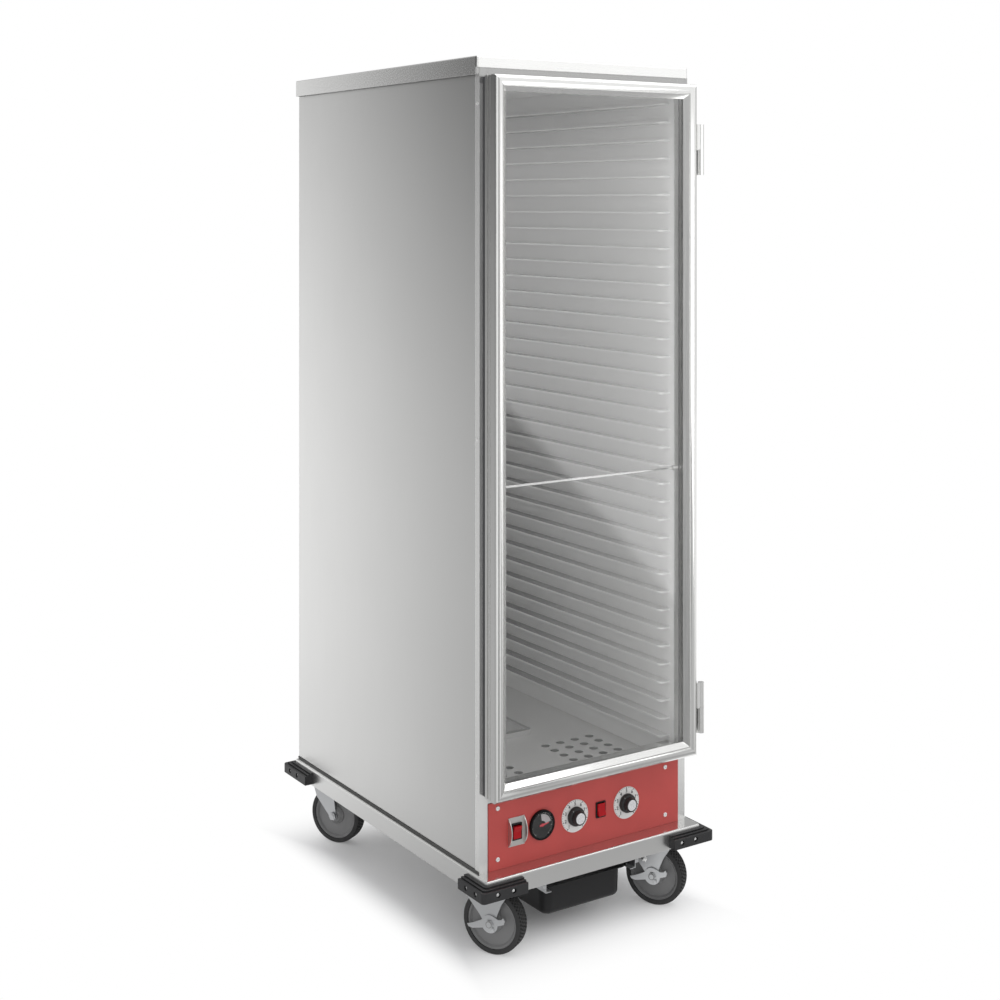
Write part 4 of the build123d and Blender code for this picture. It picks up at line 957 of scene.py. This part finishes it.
class CABINET_OT_stage(bpy.types.Operator):
    """Sets up the camera, the soft light, the pale floor and two reflector cards with their feet"""
    bl_idname = "cabinet.stage"
    bl_label = "Stage"

    def execute(self, context):
        add_camera(context.scene)
        add_world(context.scene)
        add_floor()
        add_cards()
        add_lamp()
        return {"FINISHED"}


# ---- stage

CAMERA_PLACE = (-1.927, -2.977, 1.470)
CAMERA_TURN = 33.4  # degrees to the right of straight at the door
LENS = 57.83  # millimetres
SENSOR = 36
CAMERA_SHIFT = -0.297
WORLD_LIGHT = (0.86, 0.86, 0.87)
FLOOR_COLOUR = (0.92, 0.92, 0.92, 1)
FLOOR_SIDE = 16.0
SHADOW_HALF = (0.279, 0.42)  # half size of the floor area that the cabinet shades
WHITE_BAND = ((-0.05, 0.05), (-0.19, 0.11))  # out from its edges, where the floor turns plain white


def add_camera(scene):
    """Level camera in front of the cabinet's left corner."""
    data = bpy.data.cameras.new("camera")
    data.lens = LENS
    data.sensor_width = SENSOR
    data.shift_y = CAMERA_SHIFT
    data.clip_end = 100
    camera = bpy.data.objects.new("camera", data)
    camera.location = CAMERA_PLACE
    camera.rotation_euler = (math.pi / 2, 0, -math.radians(CAMERA_TURN))
    scene.collection.objects.link(camera)
    scene.camera = camera


def seen_ray(tree):
    """(1 for rays from the camera and for mirrored or transmitted ones, 1 for mirrored ones)."""
    path = add_node(tree, "ShaderNodeLightPath").outputs
    mirrored = path["Is Glossy Ray"]
    passed = math_node(tree, "MAXIMUM", mirrored, path["Is Transmission Ray"])
    return math_node(tree, "MAXIMUM", path["Is Camera Ray"], passed), mirrored


def add_world(scene):
    """White behind the object; soft even light; metal sees a studio that is darker overhead."""
    world = bpy.data.worlds.new("studio")
    world.use_nodes = True
    tree = world.node_tree
    background = tree.nodes["Background"]
    seen, mirrored = seen_ray(tree)
    direction = split_vector(tree, place_of(tree, "Generated"))
    studio = map_range(tree, direction["Z"], 0.05, 0.9, 1.0, 0.55)
    wall = map_range(tree, direction["Z"], -0.25, 0.35, 0.80, 0.42)
    for axis, start, end in (("Y", 0.1, 0.6), ("X", 0.78, 0.96)):
        studio = mix_number(tree, ramp(tree, direction[axis], end, start), wall, studio)
    backdrop = mix_colour(tree, mirrored, (1, 1, 1), studio)
    feed(tree, mix_colour(tree, seen, WORLD_LIGHT, backdrop), background.inputs["Color"])
    background.inputs["Strength"].default_value = 1.0
    scene.world = world
    scene.view_settings.view_transform = "Standard"


def add_floor():
    """Pale floor that keeps the object's shadow and turns plain white further out."""
    tree, shader = blank_material("floor_paint")[1:]
    for title, value in (("Base Color", FLOOR_COLOUR), ("Roughness", 0.6), ("Specular IOR Level", 0.0)):
        shader.inputs[title].default_value = value
    place = split_vector(tree, place_of(tree))
    bands = []
    for axis, half, (start, end) in zip("XY", SHADOW_HALF, WHITE_BAND):
        away = math_node(tree, "ABSOLUTE", place[axis])
        bands.append(ramp(tree, away, half + start, half + end))
        bands[-1].node.interpolation_type = "SMOOTHSTEP"
    plain = math_node(tree, "MAXIMUM", *bands)
    mix_shaders(tree, product(tree, plain, seen_ray(tree)[0]), shader, add_node(tree, "ShaderNodeEmission"))
    bm = bmesh.new()
    bmesh.ops.create_grid(bm, x_segments=4, y_segments=4, size=FLOOR_SIDE / 2)
    new_object("floor", bm, "floor_paint")


SIDE_CARD_X = -0.7
FRONT_CARD_Y = -0.9
CARD_RIGHT = 1.9
CARD_BACK = 3.4
CARD_TOP = 2.4
CARD_GAP = 0.02  # from the cabinet's shaded area to the foot of a card
FOOT_LIFT = 0.002
SOFTBOX = ((0.10, 0.605), 1.69) # span in x and top of the bright field on the front card
SOFTBOX_EDGE = ((0.08, 1.03), (0.565, 0.53))  # two points, x and height, on its slanting lower edge
FLAG_EDGE = 0.665  # right edge of the dark strip beside it
WING_MIDDLE = -0.25  # a dark upright strip on the front card, opposite its left corner
WING_HALF = 0.09


def add_card(name, corner, along, across, strength):
    """Flat card that only mirroring surfaces see; strength gives its brightness from x, y, z."""
    tree, shader = blank_material(name)[1:]
    tree.nodes.remove(shader)
    glow = node_out(tree, "ShaderNodeEmission",
                    {"Strength": strength(tree, *split_vector(tree, place_of(tree)))})
    feed(tree, glow, tree.nodes["Material Output"].inputs["Surface"])
    bm = bmesh.new()
    first = bm.edges.new([bm.verts.new(corner), bm.verts.new(Vector(corner) + Vector(along))])
    swept = bmesh.ops.extrude_edge_only(bm, edges=[first])["geom"]
    bmesh.ops.translate(bm, verts=[part for part in swept if isinstance(part, bmesh.types.BMVert)],
                        vec=across)
    card = new_object(name, bm, name)
    for ray in ("camera", "diffuse", "transmission", "volume_scatter", "shadow"):
        setattr(card, f"visible_{ray}", False)


def side_strength(tree, x, y, z):
    """Dark beside the front of the cabinet, brighter towards the back and below."""
    along = map_range(tree, y, 0.25, 1.5, 0.09, 0.80)
    rise = ramp(tree, z, 0.25, 1.8)
    fall = math_node(tree, "SUBTRACT", 1.0, product(tree, rise, rise))
    return math_node(tree, "ADD", along, product(tree, fall, 0.33))


def side_foot_strength(tree, x, y, z):
    """Floor beside the cabinet as metal sees it, a little darker near the front."""
    return map_range(tree, y, 0.0, 0.8, 0.45, 0.85)


def front_strength(tree, x, y, z):
    """A softbox with a slanting lower edge and two dark strips, on a card that is grey near the floor."""
    (left, right), top = SOFTBOX
    (x0, z0), (x1, z1) = SOFTBOX_EDGE
    slope = (z1 - z0) / (x1 - x0)
    edge = math_node(tree, "ADD", product(tree, x, slope), z0 - slope * x0)
    bright = map_range(tree, x, left, right, 1.15, 1.1)
    under = mix_number(tree, ramp(tree, z, 0.25, 0.55), -0.25,
                       map_range(tree, x, left, left + 0.22, -0.75, -0.25))
    above_edge = ramp(tree, math_node(tree, "SUBTRACT", z, edge), -0.01, 0.03)
    field = product(tree, mix_number(tree, above_edge, under, bright), ramp(tree, x, left - 0.02, left),
                    ramp(tree, x, right + 0.01, right), ramp(tree, z, top, top - 0.14))
    flag = product(tree, map_range(tree, z, 0.22, 0.50, 0.0, -0.70), ramp(tree, x, right, right + 0.01),
                   ramp(tree, x, FLAG_EDGE + 0.02, FLAG_EDGE), ramp(tree, z, top, top - 0.25))
    beside = math_node(tree, "ABSOLUTE", math_node(tree, "SUBTRACT", x, WING_MIDDLE))
    wing = map_range(tree, z, 0.3, 1.7, 0.30, 0.48)
    plain = map_range(tree, z, 0.05, 0.7, 0.66, 0.98)
    card = mix_number(tree, ramp(tree, beside, WING_HALF, WING_HALF + 0.04), wing, plain)
    return math_node(tree, "ADD", card, math_node(tree, "ADD", field, flag))


def front_foot_strength(tree, x, y, z):
    """Floor in front of the cabinet as metal sees it: grey."""
    return map_range(tree, y, FRONT_CARD_Y, -SHADOW_HALF[1], 0.34, 0.55)


def add_cards():
    """The two standing cards and their feet, which lie on the floor up to the cabinet."""
    side, front = -SHADOW_HALF[0] - CARD_GAP, -SHADOW_HALF[1] - CARD_GAP
    corner = (SIDE_CARD_X, FRONT_CARD_Y, 0)
    width, depth = CARD_RIGHT - SIDE_CARD_X, CARD_BACK - FRONT_CARD_Y
    add_card("side_card", corner, (0, depth, 0), (0, 0, CARD_TOP), side_strength)
    add_card("side_card_foot", (SIDE_CARD_X, front, FOOT_LIFT), (0, CARD_BACK - front, 0),
             (side - SIDE_CARD_X, 0, 0), side_foot_strength)
    add_card("front_card", corner, (width, 0, 0), (0, 0, CARD_TOP), front_strength)
    add_card("front_card_foot", (SIDE_CARD_X, FRONT_CARD_Y, FOOT_LIFT), (width, 0, 0),
             (0, front - FRONT_CARD_Y, 0), front_foot_strength)


LAMP_PLACE = (0.8, -1.0, 4.0)
LAMP_SIDE = 3.0
LAMP_POWER = 40.0  # watts


def add_lamp():
    """Soft overhead light that shapes the top faces and the shadow under the cabinet."""
    lamp = bpy.data.lights.new("overhead", "AREA")
    lamp.shape = "SQUARE"
    lamp.size = LAMP_SIDE
    lamp.energy = LAMP_POWER
    light = bpy.data.objects.new("overhead", lamp)
    light.location = LAMP_PLACE
    light.rotation_euler = Vector(LAMP_PLACE).to_track_quat("Z", "Y").to_euler()
    light.visible_camera = False
    bpy.context.scene.collection.objects.link(light)


# ---- add-on

class CABINET_PT_sidebar(bpy.types.Panel):
    """Lists the cabinet's settings and steps"""
    bl_idname = "CABINET_PT_sidebar"
    bl_label = "Heated holding cabinet"
    bl_space_type = "VIEW_3D"
    bl_region_type = "UI"
    bl_category = "Cabinet"

    def draw(self, context):
        for settings in (context.scene.cabinet_finish, context.scene.cabinet_detail):
            for name in settings.__annotations__:
                self.layout.prop(settings, name)
        for step in STEPS:
            self.layout.operator(step.bl_idname)


STEPS = (
    CABINET_OT_stage,
    CABINET_OT_finishes,
    CABINET_OT_tyres,
    CABINET_OT_caster_details,
    CABINET_OT_knobs,
    CABINET_OT_dials,
    CABINET_OT_thermometer,
    CABINET_OT_screws,
    CABINET_OT_cap_tabs,
    CABINET_OT_foot_beads,
)
CLASSES = (CabinetFinish, CabinetDetail, *STEPS, CABINET_PT_sidebar)


def register():
    """Makes the classes known and adds the settings to the scene."""
    for made in CLASSES:
        bpy.utils.register_class(made)
    bpy.types.Scene.cabinet_finish = PointerProperty(type=CabinetFinish)
    bpy.types.Scene.cabinet_detail = PointerProperty(type=CabinetDetail)


def unregister():
    """Takes the settings and classes away again."""
    del bpy.types.Scene.cabinet_detail
    del bpy.types.Scene.cabinet_finish
    for made in reversed(CLASSES):
        bpy.utils.unregister_class(made)


def main():
    """Runs every step in order."""
    register()
    for step in STEPS:
        group, name = step.bl_idname.split(".")
        getattr(getattr(bpy.ops, group), name)()


if __name__ == "__main__":
    main()
